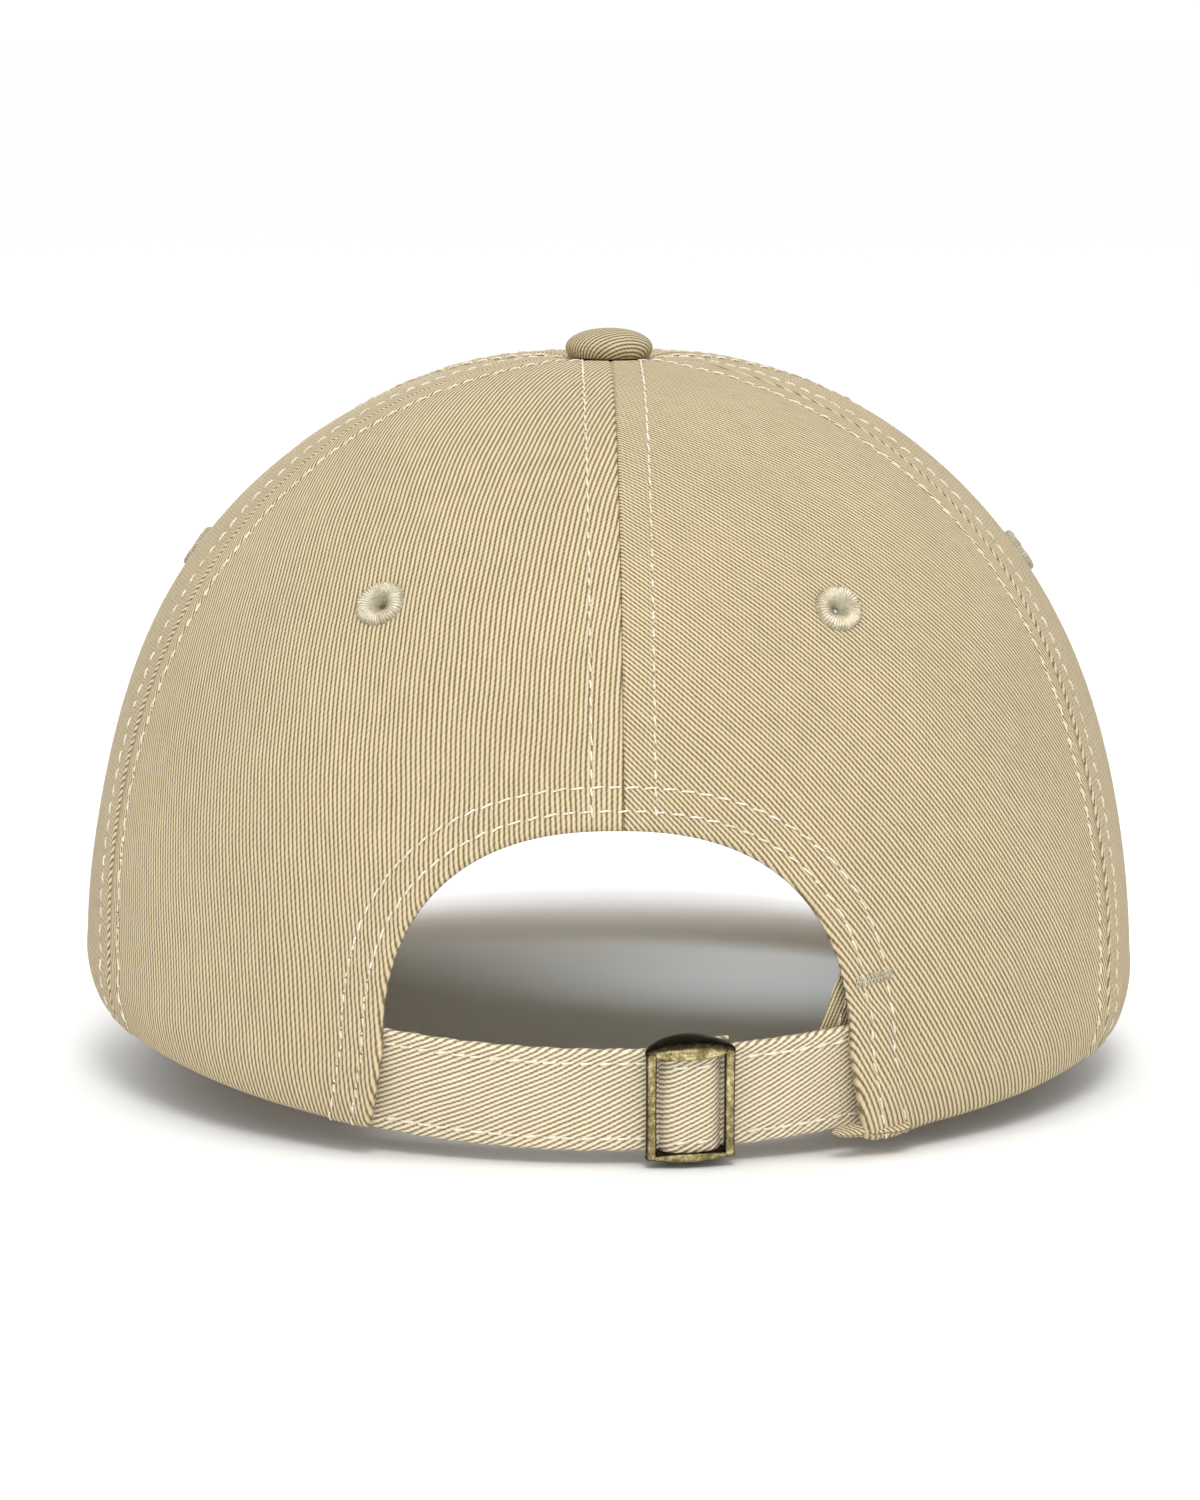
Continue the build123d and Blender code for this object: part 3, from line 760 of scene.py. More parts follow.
def brass(name):
    """Antiqued brass: a random dark patina and pits, with a painted highlight of gold where it faces
    outward and painted shade, near black, where it turns away.
    """
    look = Look(name)
    place = look.place()
    patina = look.noise(place, 520.0, 5.0, 0.65)
    pits = look.noise(place, 2600.0, 3.0, 0.7)
    # Painted highlight and shade: the colour turns gold where the surface faces outward from the strap,
    # towards the back of the cap, and dark where it turns aside.
    normal = look.value("Normal", "TexCoord")
    outward = drum_outward(BUCKLE_ANGLE)
    facing = look.value("Value", "VectorMath", normal, outward, operation="DOT_PRODUCT")
    facing_highlight = look.value(0, "MapRange", Value=facing, From_Min=0.45, From_Max=0.98,
                       interpolation_type="SMOOTHSTEP")
    colour = look.ramp(
        patina * 0.75 + facing_highlight * 0.42 + pits.swing(0.5),
        (0.38, (0.022, 0.019, 0.010)),
        (0.6, (0.10, 0.085, 0.038)),
        (0.78, (0.33, 0.27, 0.12)),
        (0.95, (0.88, 0.76, 0.42)),
    )
    return look.finish(colour, 0.3, (pits, 0.3, 0.05), Metallic=0.95)


def plain_solid(name, color, roughness, metallic=0.0):
    """Hidden stiff parts: board, pressed metal, with a fine mottle and tooth."""
    look = Look(name)
    grain = look.noise(look.place(), 900.0, 3.0)
    colour = look.ramp(grain, (0.3, scaled(color, 0.86)), (0.7, color))
    return look.finish(colour, roughness, (grain, 0.3, 0.05), Metallic=metallic)


def drum_outward(angle):
    """Direction out of the strap's drum at some degrees along it."""
    angle = np.radians(angle)[..., None]
    return DRUM_SIDE * np.sin(angle) + DRUM_BACK * np.cos(angle)


TWILLS = {
    name: twill("twill_" + name, ribs, pitch=pitch) for name, (ribs, pitch) in PANEL_RIBS.items()
}
TWILL_LINING = twill("twill_lining", 60.0)
TWILL_STRAP = twill("twill_strap", 27.5, STRAP_DARK, STRAP_LIGHT, pitch=0.82, depth=0.3)
TWILL_WINDOW = twill("twill_window", 26.0, STRAP_DARK, STRAP_LIGHT, pitch=0.8, depth=0.3)
# The button's cloth: the crown's khaki twill, darkened as painted shade.
TWILL_BUTTON_SHADED = twill("twill_button_shaded", 28.0, scaled(KHAKI_DARK, 0.72), scaled(KHAKI_LIGHT, 0.86), 0.8)
TWILL_BAND = twill("twill_band", 60.0)
TAPE = woven("tape_weave", (0.50, 0.42, 0.27), (0.72, 0.63, 0.45))
BACKING = woven("backing_weave", (0.62, 0.60, 0.54), (0.80, 0.78, 0.72))
THREAD = thread("topstitch_thread", (0.52, 0.45, 0.31), (0.94, 0.89, 0.75))
STRAP_THREAD = thread("strap_topstitch_thread", (0.62, 0.55, 0.40), (0.96, 0.92, 0.80))
EYELET_THREAD = eyelet_thread("eyelet_thread", (0.46, 0.39, 0.25), (0.90, 0.83, 0.66))
TACK_THREAD = thread("tack_thread", (0.34, 0.30, 0.19), (0.62, 0.57, 0.42))
BRASS = brass("antique_brass")
STEEL = plain_solid("button_metal", (0.62, 0.62, 0.62), 0.35, 1.0)
BOARD = plain_solid("visor_board", (0.82, 0.82, 0.80), 0.6)
BUCKRAM = plain_solid("buckram", (0.80, 0.79, 0.74), 0.9)


# ---------------------------------------------------------------- crown panels

def seam_columns(count, width):
    """Shares across a panel of some width, close together over both seam allowances."""
    near = (0.0, 0.12, 0.25, 0.4, 0.6, 0.9, 1.4, 2.2, 3.2, 4.2, 4.9, 5.3, 5.7, 6.3, 7.2)
    near = np.array(near) / width
    inner = np.linspace(near[-1], 1 - near[-1], count - 2 * len(near) + 2)[1:-1]
    return np.concatenate([near, inner, 1 - near[::-1]])


def edge_rows(count):
    """Shares up a panel whose first few steps are short, for a crisp lower edge."""
    return np.linspace(0.0, 1.0, count)[:, None] ** 1.2


def cloth_uv(azimuth, latitude, middle):
    """Flat pattern coordinates in millimetres: across from the panel's midline, and up."""
    u = np.radians(seam_turn(azimuth, middle)) * plan_radius(azimuth, latitude)
    return np.stack(np.broadcast_arrays(u, PANEL_LENGTH * latitude / 90.0), axis=-1)


def on_crown(x, z):
    """Azimuth and latitude of the back of the crown at a place seen square on."""
    azimuth = np.full_like(x, -90.0)
    for _ in range(30):
        rise = np.clip(z - rim_height(azimuth), 0.0, None)
        latitude = latitude_at_rise(azimuth, rise)
        radius = np.abs(base_point(azimuth, latitude)[..., 0]) / np.maximum(
            np.abs(np.cos(np.radians(azimuth))), 1e-6
        )
        radius = np.where(np.abs(azimuth + 90) < 1e-3, CROWN_HALF_WIDTH * 0.98, radius)
        azimuth = -90 + np.degrees(np.arcsin(np.clip(x / radius, -0.95, 0.95)))
    return azimuth, latitude


def arch_line(offset, foot):
    """A line on the crown at an offset outside the opening, from foot to foot."""
    x, z = arch_curve(np.linspace(0.0, math.pi, 400), offset)
    leg = np.linspace(foot, OPENING_WAIST, 60)[:-1]
    leg_x = OPENING_HALF_WIDTH + offset + leg_flare(leg)
    x = np.concatenate([leg_x, x, -leg_x[::-1]])
    z = np.concatenate([leg, z, leg[::-1]])
    return on_crown(OPENING_CENTRE + x, z)


def back_border(side, columns):
    """The lower edge of a back panel: down the opening from its top, then along the rim."""
    x, z = arch_curve(np.linspace(math.pi / 2, 0.0, 120))
    leg = np.linspace(OPENING_WAIST, 0.2, 60)[1:]
    x = np.concatenate([x, OPENING_HALF_WIDTH + leg_flare(leg)])
    azimuth, latitude = on_crown(OPENING_CENTRE + side * x, np.concatenate([z, leg]))
    start = BACK_SEAM_AZIMUTH + side * PANEL_GAP
    keep = side * (azimuth - start) > 0.05
    corner = rear_seam(0.0) if side > 0 else -180.0 - rear_seam(0.0)
    rim = np.linspace(azimuth[-1], corner - side * PANEL_GAP, 60)[1:]
    azimuth = np.concatenate([[start], azimuth[keep], rim])
    latitude = np.concatenate([latitude[keep][:1], latitude[keep], np.zeros(len(rim))])
    travel = travelled(base_point(azimuth, latitude))
    places = seam_columns(columns, travel[-1]) * travel[-1]
    return np.interp(places, travel, azimuth), np.interp(places, travel, latitude)


def back_panel(side, columns=230, rows=180):
    low_azimuth, low_latitude = back_border(side, columns)
    reached = (low_azimuth - low_azimuth[0]) / (low_azimuth[-1] - low_azimuth[0])
    across = (reached + np.linspace(0.0, 1.0, columns)) / 2
    up = edge_rows(rows)
    latitude = share(low_latitude, latitude_at_radius(low_azimuth, APEX_RADIUS), up)
    centre = SEAMS["centre_back"](latitude)
    rear = rear_seam(latitude)
    if side < 0:
        rear = -180.0 - rear
    azimuth = share(low_azimuth, share(centre, rear, across), np.clip(up * 1.6, 0.0, 1.0) ** 0.8)
    azimuth[:, 0] = centre[:, 0] + side * PANEL_GAP
    azimuth[:, -1] = rear[:, -1] - side * PANEL_GAP
    return azimuth, latitude, -90.0 + side * 34.0


def plain_panel(left, right, columns=120, rows=150):
    up = edge_rows(rows)
    across = seam_columns(columns, 95.0)
    latitude = np.broadcast_to(up * 88.6, (rows, columns))
    left_azimuth = SEAMS[left](latitude)
    right_azimuth = SEAMS[right](latitude)
    right_azimuth = np.where(right_azimuth < left_azimuth, right_azimuth + 360.0, right_azimuth)
    azimuth = share(left_azimuth + PANEL_GAP, right_azimuth - PANEL_GAP, across)
    return azimuth, up * latitude_at_radius(azimuth, APEX_RADIUS), float(azimuth[0].mean())


def build_panel(name, azimuth, latitude, middle):
    normal = base_normal(azimuth, latitude)
    base = base_point(azimuth, latitude)
    height = relief(azimuth, latitude)[..., None]
    inner = base + normal * (np.minimum(height, 0.0) * 0.4 - PANEL_THICKNESS)
    cell = (base[:-1, :-1] + base[1:, 1:]) / 2
    gone = np.zeros(cell.shape[:2], bool)
    for place in EYELET_PLACES:
        gone |= np.linalg.norm(cell - place, axis=-1) < EYELET_CUT
    uv = cloth_uv(azimuth, latitude, middle)
    mesh = shell(name + "_cloth", base + normal * height, inner, uv, gone)
    show(mesh, TWILLS[name], name)


def build_panels():
    build_panel("back_right_panel", *back_panel(1))
    azimuth, latitude, middle = back_panel(-1)
    build_panel("back_left_panel", azimuth[:, ::-1], latitude[:, ::-1], middle)
    for name, left, right in (
        ("side_right_panel", "rear_right", "front_right"),
        ("front_right_panel", "front_right", "centre_front"),
        ("front_left_panel", "centre_front", "front_left"),
        ("side_left_panel", "front_left", "rear_left"),
    ):
        build_panel(name, *plain_panel(left, right))


def build_crown_stitching():
    pile = Pile(7)
    latitude = np.linspace(0.6, 88.0, 500)
    for name, seam in SEAMS.items():
        radius = plan_radius(seam(latitude), latitude)
        for side in (-1, 1):
            azimuth = seam(latitude) + side * np.degrees(SEAM_ROW / radius)
            points, normals = cloth_line(azimuth, latitude)
            keep = radius > 9.5
            if name == "centre_back":
                keep &= arch_distance(points[:, 0], points[:, 2]) > 1.5
            stitch_row(pile, points[keep], normals[keep])
    pile.show("stitching_crown", THREAD)


def build_opening_stitching():
    pile = Pile(11)
    for offset in OPENING_ROWS:
        stitch_row(pile, *cloth_line(*arch_line(offset, foot=2.5)))
    pile.show("stitching_opening", THREAD)


def build_facing():
    """The strip of twill inside the opening, following its edge."""
    lines = [arch_line(offset, foot=0.6) for offset in np.linspace(FACING_WIDTH, 0.15, 10)]
    azimuth, latitude = np.moveaxis(np.array(lines), 1, 0)
    outer, inner, _ = under_crown(azimuth, latitude, PANEL_THICKNESS + 0.1, PANEL_THICKNESS + 0.65)
    mesh = shell("opening_facing_cloth", outer, inner, cloth_uv(azimuth, latitude, -90.0))
    show(mesh, TWILL_LINING, "opening_facing")


def build_tapes():
    """Woven tape along the inside of every seam, with its stitches."""
    pile = Pile(13)
    for name, seam in SEAMS.items():
        low = 27.0 if name == "centre_back" else 5.4
        top = float(latitude_at_radius(seam(60.0), 11.0))
        offset = np.linspace(-5.5, 5.5, 13)
        latitude = np.linspace(low, top, 150)[:, None] + 0.0 * offset
        azimuth = seam(latitude) + np.degrees(offset / plan_radius(seam(latitude), latitude))
        fold = 0.25 * bump(offset, 0.0, 1.6)
        outer, inner, normal = under_crown(
            azimuth, latitude, PANEL_THICKNESS + 0.12, PANEL_THICKNESS + 0.6 + fold
        )
        uv = np.stack(np.broadcast_arrays(offset, PANEL_LENGTH * latitude / 90.0), axis=-1)
        node_name = "seam_tape_" + name
        show(shell(node_name + "_cloth", outer, inner, uv), TAPE, node_name)
        for column in (1, 11):
            stitch_row(pile, inner[:, column], -normal[:, column])
    pile.show("stitching_tapes", THREAD)


# ---------------------------------------------------------------- eyelets and button

def build_eyelets():
    """Rings of thread wound radially round each hole, dished towards it."""
    turn = around(EYELET_THREADS * 6)
    strand = np.abs(np.sin(turn * EYELET_THREADS / 2))
    oval = 0.045 * np.cos(2 * turn - 0.6)
    for number, (name, azimuth) in enumerate(EYELETS.items()):
        rng = np.random.default_rng(100 + number)
        normal = base_normal(azimuth, EYELET_LATITUDE)
        side = unit(np.cross(UP, normal))
        up = np.cross(normal, side)
        swing = rng.uniform(-1, 1, EYELET_THREADS)
        ends = np.linspace(0, TURN, EYELET_THREADS + 1)
        uneven = np.interp(turn, ends, np.append(swing, swing[0]))
        direction = side * np.cos(turn)[:, None] + up * np.sin(turn)[:, None]
        rings, uvs = [], []
        for reach, rise in EYELET_SECTION:
            radial = reach * (1 + 0.035 * uneven + oval) + 0.04 * strand
            fall = -1.0 if rise < -0.7 and reach > 1.0 else 1.0
            height = rise + fall * (0.34 * strand + 0.08 * uneven) * smooth(0.6, 2.0, reach)
            rings.append(EYELET_PLACES[number] + direction * radial[:, None] + normal * height[:, None])
            uvs.append(np.stack([np.full(len(turn), reach), 0.7 + 1.3 * strand], -1))
        faces = ring_faces(len(turn), len(EYELET_SECTION), flip=True, closed=True)
        mesh = make_mesh(name + "_ring", np.stack(rings, 1), faces, np.stack(uvs, 1))
        show(mesh, EYELET_THREAD, name)


def build_button():
    """The covered button: cloth drawn over a dome and gathered under its edge."""
    low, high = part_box("button_cover")
    centre = np.array([(low.x + high.x) / 2, (low.y + high.y) / 2, low.z]) / MM
    radius = (high.x - low.x) / 2 / MM
    height = (high.z - low.z) / MM
    turn = around(128)
    profile = [(0.02, 1.0)]
    for angle in np.radians(np.linspace(85.0, 0.0, 20)):
        profile.append((math.cos(angle) ** 0.92, 0.22 + 0.78 * math.sin(angle)))
    # The cloth turns under just enough to stay outside the metal shell.
    profile += BUTTON_UNDERSIDE
    travel = 0.0
    before = (0.0, 1.0)
    rings, uvs = [], []
    for out, up in profile:
        fold = 0.06 * max(0.0, out - 0.75) / 0.25 * np.sin(turn * 9 + 0.6 * np.sin(turn * 3))
        r = radius * (out + 0.012 * fold)
        z = height * up + fold * 0.5 * (up < 0.5)
        rings.append(np.stack([r * np.cos(turn), r * np.sin(turn), z], -1) + centre)
        travel += math.hypot(radius * (out - before[0]), height * (up - before[1]))
        before = (out, up)
        uvs.append(np.stack([travel * np.cos(turn), travel * np.sin(turn)], -1))
    faces = ring_faces(len(profile), len(turn), flip=True)
    mesh = make_mesh("button_cloth", np.concatenate(rings), faces, np.concatenate(uvs))
    show(mesh, TWILL_BUTTON_SHADED, "button_cover")


# ---------------------------------------------------------------- strap, tab and slot

def drum_point(angle, radius, across):
    """A point on the strap's drum: degrees along it, radius, and place across its width."""
    lift = DRUM_UP * np.asarray(across)[..., None]
    return DRUM_CENTRE + drum_outward(angle) * np.asarray(radius)[..., None] + lift


def band_section(half_width, half_thickness, corner_steps=5):
    """A rounded flat section, as (out, across) pairs in order round it."""
    straight = half_width - half_thickness
    pairs = []
    for end in (1, -1):
        flat = np.linspace(-end * straight, end * straight, 29)
        pairs += [(end * half_thickness, value) for value in flat]
        for angle in math.pi * np.arange(1, corner_steps) / corner_steps:
            out = end * half_thickness * math.cos(angle)
            pairs.append((out, end * (straight + half_thickness * math.sin(angle))))
    return np.array(pairs)


def swept_band(name, start, end, radius, width, step=0.5, rise=None):
    """A strap with rounded edges, dips under its rows of stitches, and cloth coordinates."""
    angles = np.linspace(start, end, int((end - start) / step) + 1)[:, None]
    out, across = band_section(width / 2, STRAP_THICKNESS / 2).T
    face = np.sign(out)
    inset = width / 2 - np.abs(across)
    dip = -0.16 * bump(inset, 2.4, 0.6)
    hem = 0.12 * smooth(-3.4, -1.8, -inset)
    wander = 0.06 * np.sin(angles * 0.9) * np.sin(across / 3.0)
    edge_wave = 0.1 * np.sin(angles * 1.7) * smooth(-2.0, 0.0, -inset) * np.sign(across)
    lift = 0.0 if rise is None else rise(angles)
    out = radius + out + face * (dip + hem) + wander + lift
    points = drum_point(angles + 0 * out, out, across + edge_wave)
    u = np.radians(angles) * radius
    uv = np.stack(np.broadcast_arrays(u, across + 0.6 * (face < 0) * RIB_PITCH), -1)
    return make_mesh(name, points, ring_faces(len(angles), len(across)), uv)


def strap_rows(pile, start, end, radius, rise=None):
    angles = np.linspace(start, end, 200)
    lift = 0.0 if rise is None else rise(angles)
    for side in (-1, 1):
        across = np.full_like(angles, side * STRAP_ROW)
        points = drum_point(angles, radius + STRAP_THICKNESS / 2 - 0.06 + lift, across)
        stitch_row(pile, points, drum_outward(angles), radius=STRAP_THREAD_RADIUS)


def build_strap():
    start, end = STRAP_ENDS
    mesh = swept_band("strap_cloth", start, end, STRAP_RADIUS, STRAP_WIDTH)
    show(mesh, TWILL_STRAP, "strap")
    pile = Pile(17)
    strap_rows(pile, start + 1.0, end - 1.0, STRAP_RADIUS)
    pile.show("stitching_strap", STRAP_THREAD)


def window_rise(angles):
    """The strap swells outward where it passes over the buckle's middle bar."""
    part = np.clip(np.abs(angles - WINDOW_MIDDLE) / WINDOW_REACH, 0.0, 1.0)
    return 2.3 * (1 - part ** 4.5) - 0.2


def build_window_swell():
    start, end = WINDOW_MIDDLE - WINDOW_REACH, WINDOW_MIDDLE + WINDOW_REACH
    width = STRAP_WIDTH - 0.3
    mesh = swept_band("strap_swell", start, end, WINDOW_RADIUS, width, step=0.12, rise=window_rise)
    show(mesh, TWILL_WINDOW, body="tab")
    pile = Pile(19)
    strap_rows(pile, start + 1.0, end - 1.0, WINDOW_RADIUS, rise=window_rise)
    pile.show("stitching_swell", STRAP_THREAD, "tab")


def build_tab():
    """The tab from its loop round the middle bar to its end inside the slot."""
    bar = TAB_RADIUS - 1.05
    # From the lap under the bar, round its left side, to the outer side.
    path = [(TAB_LAP - k, bar - TAB_LOOP_RADIUS + 0.02) for k in range(8)]
    for angle in np.radians(np.linspace(180.0, 360.0, 20)):
        path.append((TAB_LOOP_RADIUS * math.sin(angle), bar + TAB_LOOP_RADIUS * math.cos(angle)))
    turn = math.radians(BUCKLE_ANGLE) * STRAP_RADIUS
    flat = [(x + turn, radius) for x, radius in path]
    for angle in np.radians(np.linspace(BUCKLE_ANGLE + 0.8, TAB_END, 90)):
        flat.append((angle * STRAP_RADIUS, TAB_RADIUS + TAB_THICKNESS / 2))
    flat = np.array(flat)
    out, across = band_section((STRAP_WIDTH - 1.0) / 2, 0.48).T
    along = unit(np.gradient(flat, axis=0))
    normal = np.stack([-along[:, 1], along[:, 0]], -1)
    place = flat[:, None] + normal[:, None] * out[:, None]
    angles = np.degrees(place[..., 0] / STRAP_RADIUS)
    points = drum_point(angles, place[..., 1], across + 0 * angles)
    uv = np.stack(np.broadcast_arrays(travelled(flat)[:, None], across), -1)
    mesh = make_mesh("buckle_tab_cloth", points, ring_faces(len(flat), len(across)), uv)
    show(mesh, TWILL_STRAP, "buckle_tab", "tab")


def build_pocket():
    """The lining of the slot that takes the strap's tail."""
    angles, across = np.meshgrid(
        np.linspace(28.0, 62.0, 60), np.linspace(-POCKET_HALF_WIDTH, POCKET_HALF_WIDTH, 16),
        indexing="ij",
    )
    outer = drum_point(angles, POCKET_RADIUS + 0 * angles, across)
    inner = drum_point(angles, POCKET_RADIUS - 0.42 - np.abs(0.08 * np.sin(angles * 0.7)), across)
    uv = np.stack([np.radians(angles) * POCKET_RADIUS, across], -1)
    mesh = shell("strap_pocket_cloth", outer, inner, uv)
    show(mesh, TWILL_LINING, "strap_pocket_lining")


def build_pocket_flap():
    """The loose corner of the slot's lining, which stands up behind the strap."""
    part, columns = np.meshgrid(np.linspace(0.0, 1.0, 18), np.linspace(0.0, 1.0, 14), indexing="ij")
    across = share(7.0, 20.5, part)
    left = 23.4 + 4.6 * part + 0.12 * np.sin(7 * part)
    angles = share(left, 34.0, columns)
    curl = 0.4 * (1 - smooth(0.0, 0.2, columns)) * smooth(0.2, 0.7, part)
    radius = STRAP_RADIUS - 2.6 - 1.2 * part - curl
    outer = drum_point(angles, radius, across)
    inner = drum_point(angles, radius - 0.7 * smooth(0.0, 0.05, columns) - 0.05, across)
    uv = np.stack([np.radians(angles) * STRAP_RADIUS, across], -1)
    show(shell("strap_pocket_flap", outer, inner, uv), TWILL_LINING)
    pile = Pile(37)
    stitch_row(pile, outer[1:-1, 3], drum_outward(angles[1:-1, 3]))
    pile.show("stitching_flap", THREAD)


def build_pocket_lip():
    """The slot's lower hem, which rolls in under the strap towards the opening."""
    part = np.linspace(0.0, 1.0, 40)
    azimuth = share(-58.0, -66.6, part)
    rim, normal = cloth_line(azimuth, np.full_like(azimuth, 0.3))
    centre = rim - normal * (0.4 + smooth(0.0, 0.6, part))[:, None]
    centre[:, 2] += 0.35 + 0.3 * part ** 3
    turn = around(24)
    taper = np.sqrt(np.clip(1 - part ** 6, 0.02, 1.0))[:, None]
    wide = 1.5 * taper * np.cos(turn)
    tall = 0.95 * taper * np.sin(turn) * (1 - 0.35 * bump(turn, math.pi / 2, 0.7))
    ring = centre[:, None] + normal[:, None] * wide[..., None] + UP * tall[..., None]
    u = np.radians(azimuth)[:, None] * CROWN_HALF_WIDTH
    uv = np.stack(np.broadcast_arrays(u, 1.2 * turn), -1)
    mesh = make_mesh("strap_pocket_lip", ring, ring_faces(len(part), len(turn)), uv)
    show(mesh, TWILLS["back_right_panel"])


# ---------------------------------------------------------------- buckle

def buckle_frame(x, out, up):
    """Buckle coordinates: along the strap, outward from its middle, and up its width."""
    turn = math.radians(BUCKLE_ANGLE)
    outward = drum_outward(BUCKLE_ANGLE)
    along = DRUM_SIDE * math.cos(turn) - DRUM_BACK * math.sin(turn)
    x, out, up = np.broadcast_arrays(x, out, up)
    centre = DRUM_CENTRE + outward * STRAP_RADIUS
    return centre + x[..., None] * along + out[..., None] * outward + up[..., None] * DRUM_UP


def add_buckle_end(pile, end, low, front, behind):
    """A domed end: bulges outward between pointed corners and is shallower behind."""
    turn = around(72)
    x = BUCKLE_HALF_WIDTH * np.cos(turn)
    bulge = np.where(np.sin(turn) > 0, 1.9, front - behind + 0.7)
    out = front - 0.2 + np.abs(np.sin(turn)) ** 1.25 * bulge * np.sign(np.sin(turn))
    middle = front - 1.2
    rings = []
    for height, scale in END_LEVELS:
        ring_x = x * scale
        ring_out = middle + (out - middle) * scale
        swell = 1 - (ring_x / BUCKLE_HALF_WIDTH) ** 2
        forward = smooth(0.2, front, ring_out)
        lens = share(-0.75 * swell * forward, -0.5 * (1 - swell), height / END_THICKNESS)
        rings.append(buckle_frame(ring_x, ring_out, end * (low + height + lens)))
    pile.add(np.concatenate(rings), ring_faces(len(rings), len(turn), flip=end > 0))


def add_side_bar(pile, side, low, front):
    """A front bar: flattened, and slightly waisted."""
    heights = np.linspace(-low - 0.4, low + 0.4, 40)[:, None]
    turn = around(20)
    bar_x = SIDE_BAR_RADIUS * np.sign(np.cos(turn)) * np.abs(np.cos(turn)) ** 0.75
    bar_out = SIDE_BAR_RADIUS * np.sign(np.sin(turn)) * np.abs(np.sin(turn)) ** 0.8
    waist = 1 - 0.05 * np.cos(heights / low * math.pi / 2)
    bar = buckle_frame(side * SIDE_BAR_OFFSET + bar_x * waist, front + bar_out * waist, heights)
    pile.add(bar.reshape(-1, 3), ring_faces(len(heights), len(turn)))


def build_buckle():
    """Three-bar slide: lens-shaped domed ends joined by two front bars and one behind."""
    pile = Pile()
    front = STRAP_THICKNESS / 2 + 1.0 + SIDE_BAR_RADIUS
    behind = TAB_RADIUS - 0.15 - MIDDLE_BAR_RADIUS - STRAP_RADIUS
    low = BUCKLE_HALF_HEIGHT - END_THICKNESS
    for side in (-1, 1):
        add_buckle_end(pile, side, low, front, behind)
    for side in (-1, 1):
        add_side_bar(pile, side, low, front)
    heights = np.linspace(-low - 0.4, low + 0.4, 20)
    pile.add(*tube(buckle_frame(0.0, behind, heights), MIDDLE_BAR_RADIUS, sides=16))
    show(pile.mesh("buckle_brass"), BRASS, "buckle", "buckle")


# ---------------------------------------------------------------- sweatband and visor

def build_sweatband():
    """A soft band inside the rim, rolled at its lower edge, with its backing behind."""
    azimuth, part = np.meshgrid(np.linspace(*BAND_ENDS, 420), np.linspace(0.0, 1.0, 26))
    low, high = (latitude_at_rise(azimuth, rise) for rise in BAND_RISE)
    latitude = share(low, high, part)
    depth = share(*BAND_DEPTH, smooth(0.0, 0.35, -np.sin(np.radians(azimuth))))
    depth = depth + 0.25 * np.sin(np.radians(azimuth) * 23 + 2 * part) * smooth(0.3, 1.0, part)
    roll = 0.5 * (bump(part, 0.0, 0.05) + bump(part, 1.0, 0.05))
    pad = 0.35 * np.sin(math.pi * part)
    outer, inner, back_outer, back_inner, normal = under_crown(
        azimuth, latitude, depth + 0.6 + roll * 0.4, depth + 1.35 + pad - roll * 0.3,
        depth, depth + 0.5,
    )
    uv = np.stack([np.radians(azimuth) * 90.0, BAND_RISE[1] * part], -1)
    show(shell("sweatband_cloth", outer, inner, uv), TWILL_BAND, "sweatband")
    rows = slice(2, 24)
    mesh = shell("sweatband_backing_cloth", back_outer[rows], back_inner[rows], uv[rows])
    show(mesh, BACKING, "sweatband_backing")
    pile = Pile(23)
    for row in (2, 23):
        stitch_row(pile, inner[row], -normal[row], pitch=3.2)
    pile.show("stitching_sweatband", THREAD)


def smooth_curve(points, samples):
    """A Catmull-Rom curve through points, evenly sampled."""
    padded = np.concatenate([[2 * points[0] - points[1]], points, [2 * points[-1] - points[-2]]])
    pieces = []
    t = np.linspace(0.0, 1.0, 40)[:, None]
    for k in range(1, len(padded) - 2):
        a, b, c, d = padded[k - 1:k + 3]
        pieces.append(0.5 * (2 * b + (c - a) * t + (2 * a - 5 * b + 4 * c - d) * t ** 2
                             + (3 * b - a - 3 * c + d) * t ** 3))
    line = np.concatenate(pieces)
    travel = travelled(line)
    return along_line(np.linspace(0.0, travel[-1], samples), travel, line)


def visor_edges(samples):
    """Plan curves of the visor's root and outer edge, from its right end to its left."""
    power = 2 / VISOR_SQUARENESS
    x, y = rim_xy(FRONT_SEAM_AZIMUTH + 0.4)
    quarter = [(x + 0.4, y - 0.3)]
    for angle in math.pi / 2 * np.arange(1, 13) / 12:
        quarter.append((VISOR_HALF_WIDTH * max(0.0, math.cos(angle)) ** power,
                        VISOR_MIDDLE + (VISOR_FRONT - VISOR_MIDDLE) * math.sin(angle) ** power))
    quarter = np.array(quarter)
    mirrored = quarter[-2::-1] * np.array([-1.0, 1.0])
    outer = smooth_curve(np.concatenate([quarter, mirrored]), samples)
    azimuth = np.linspace(FRONT_SEAM_AZIMUTH + 0.4, 180 - FRONT_SEAM_AZIMUTH - 0.4, samples)
    root = np.stack(rim_xy(azimuth), -1) * (1 - VISOR_ROOT_DEPTH / CROWN_HALF_WIDTH)
    return root, outer


def visor_surface(plan, depth):
    z = visor_height(plan[..., 0], plan[..., 1]) - depth
    return np.concatenate([plan, z[..., None]], axis=-1)


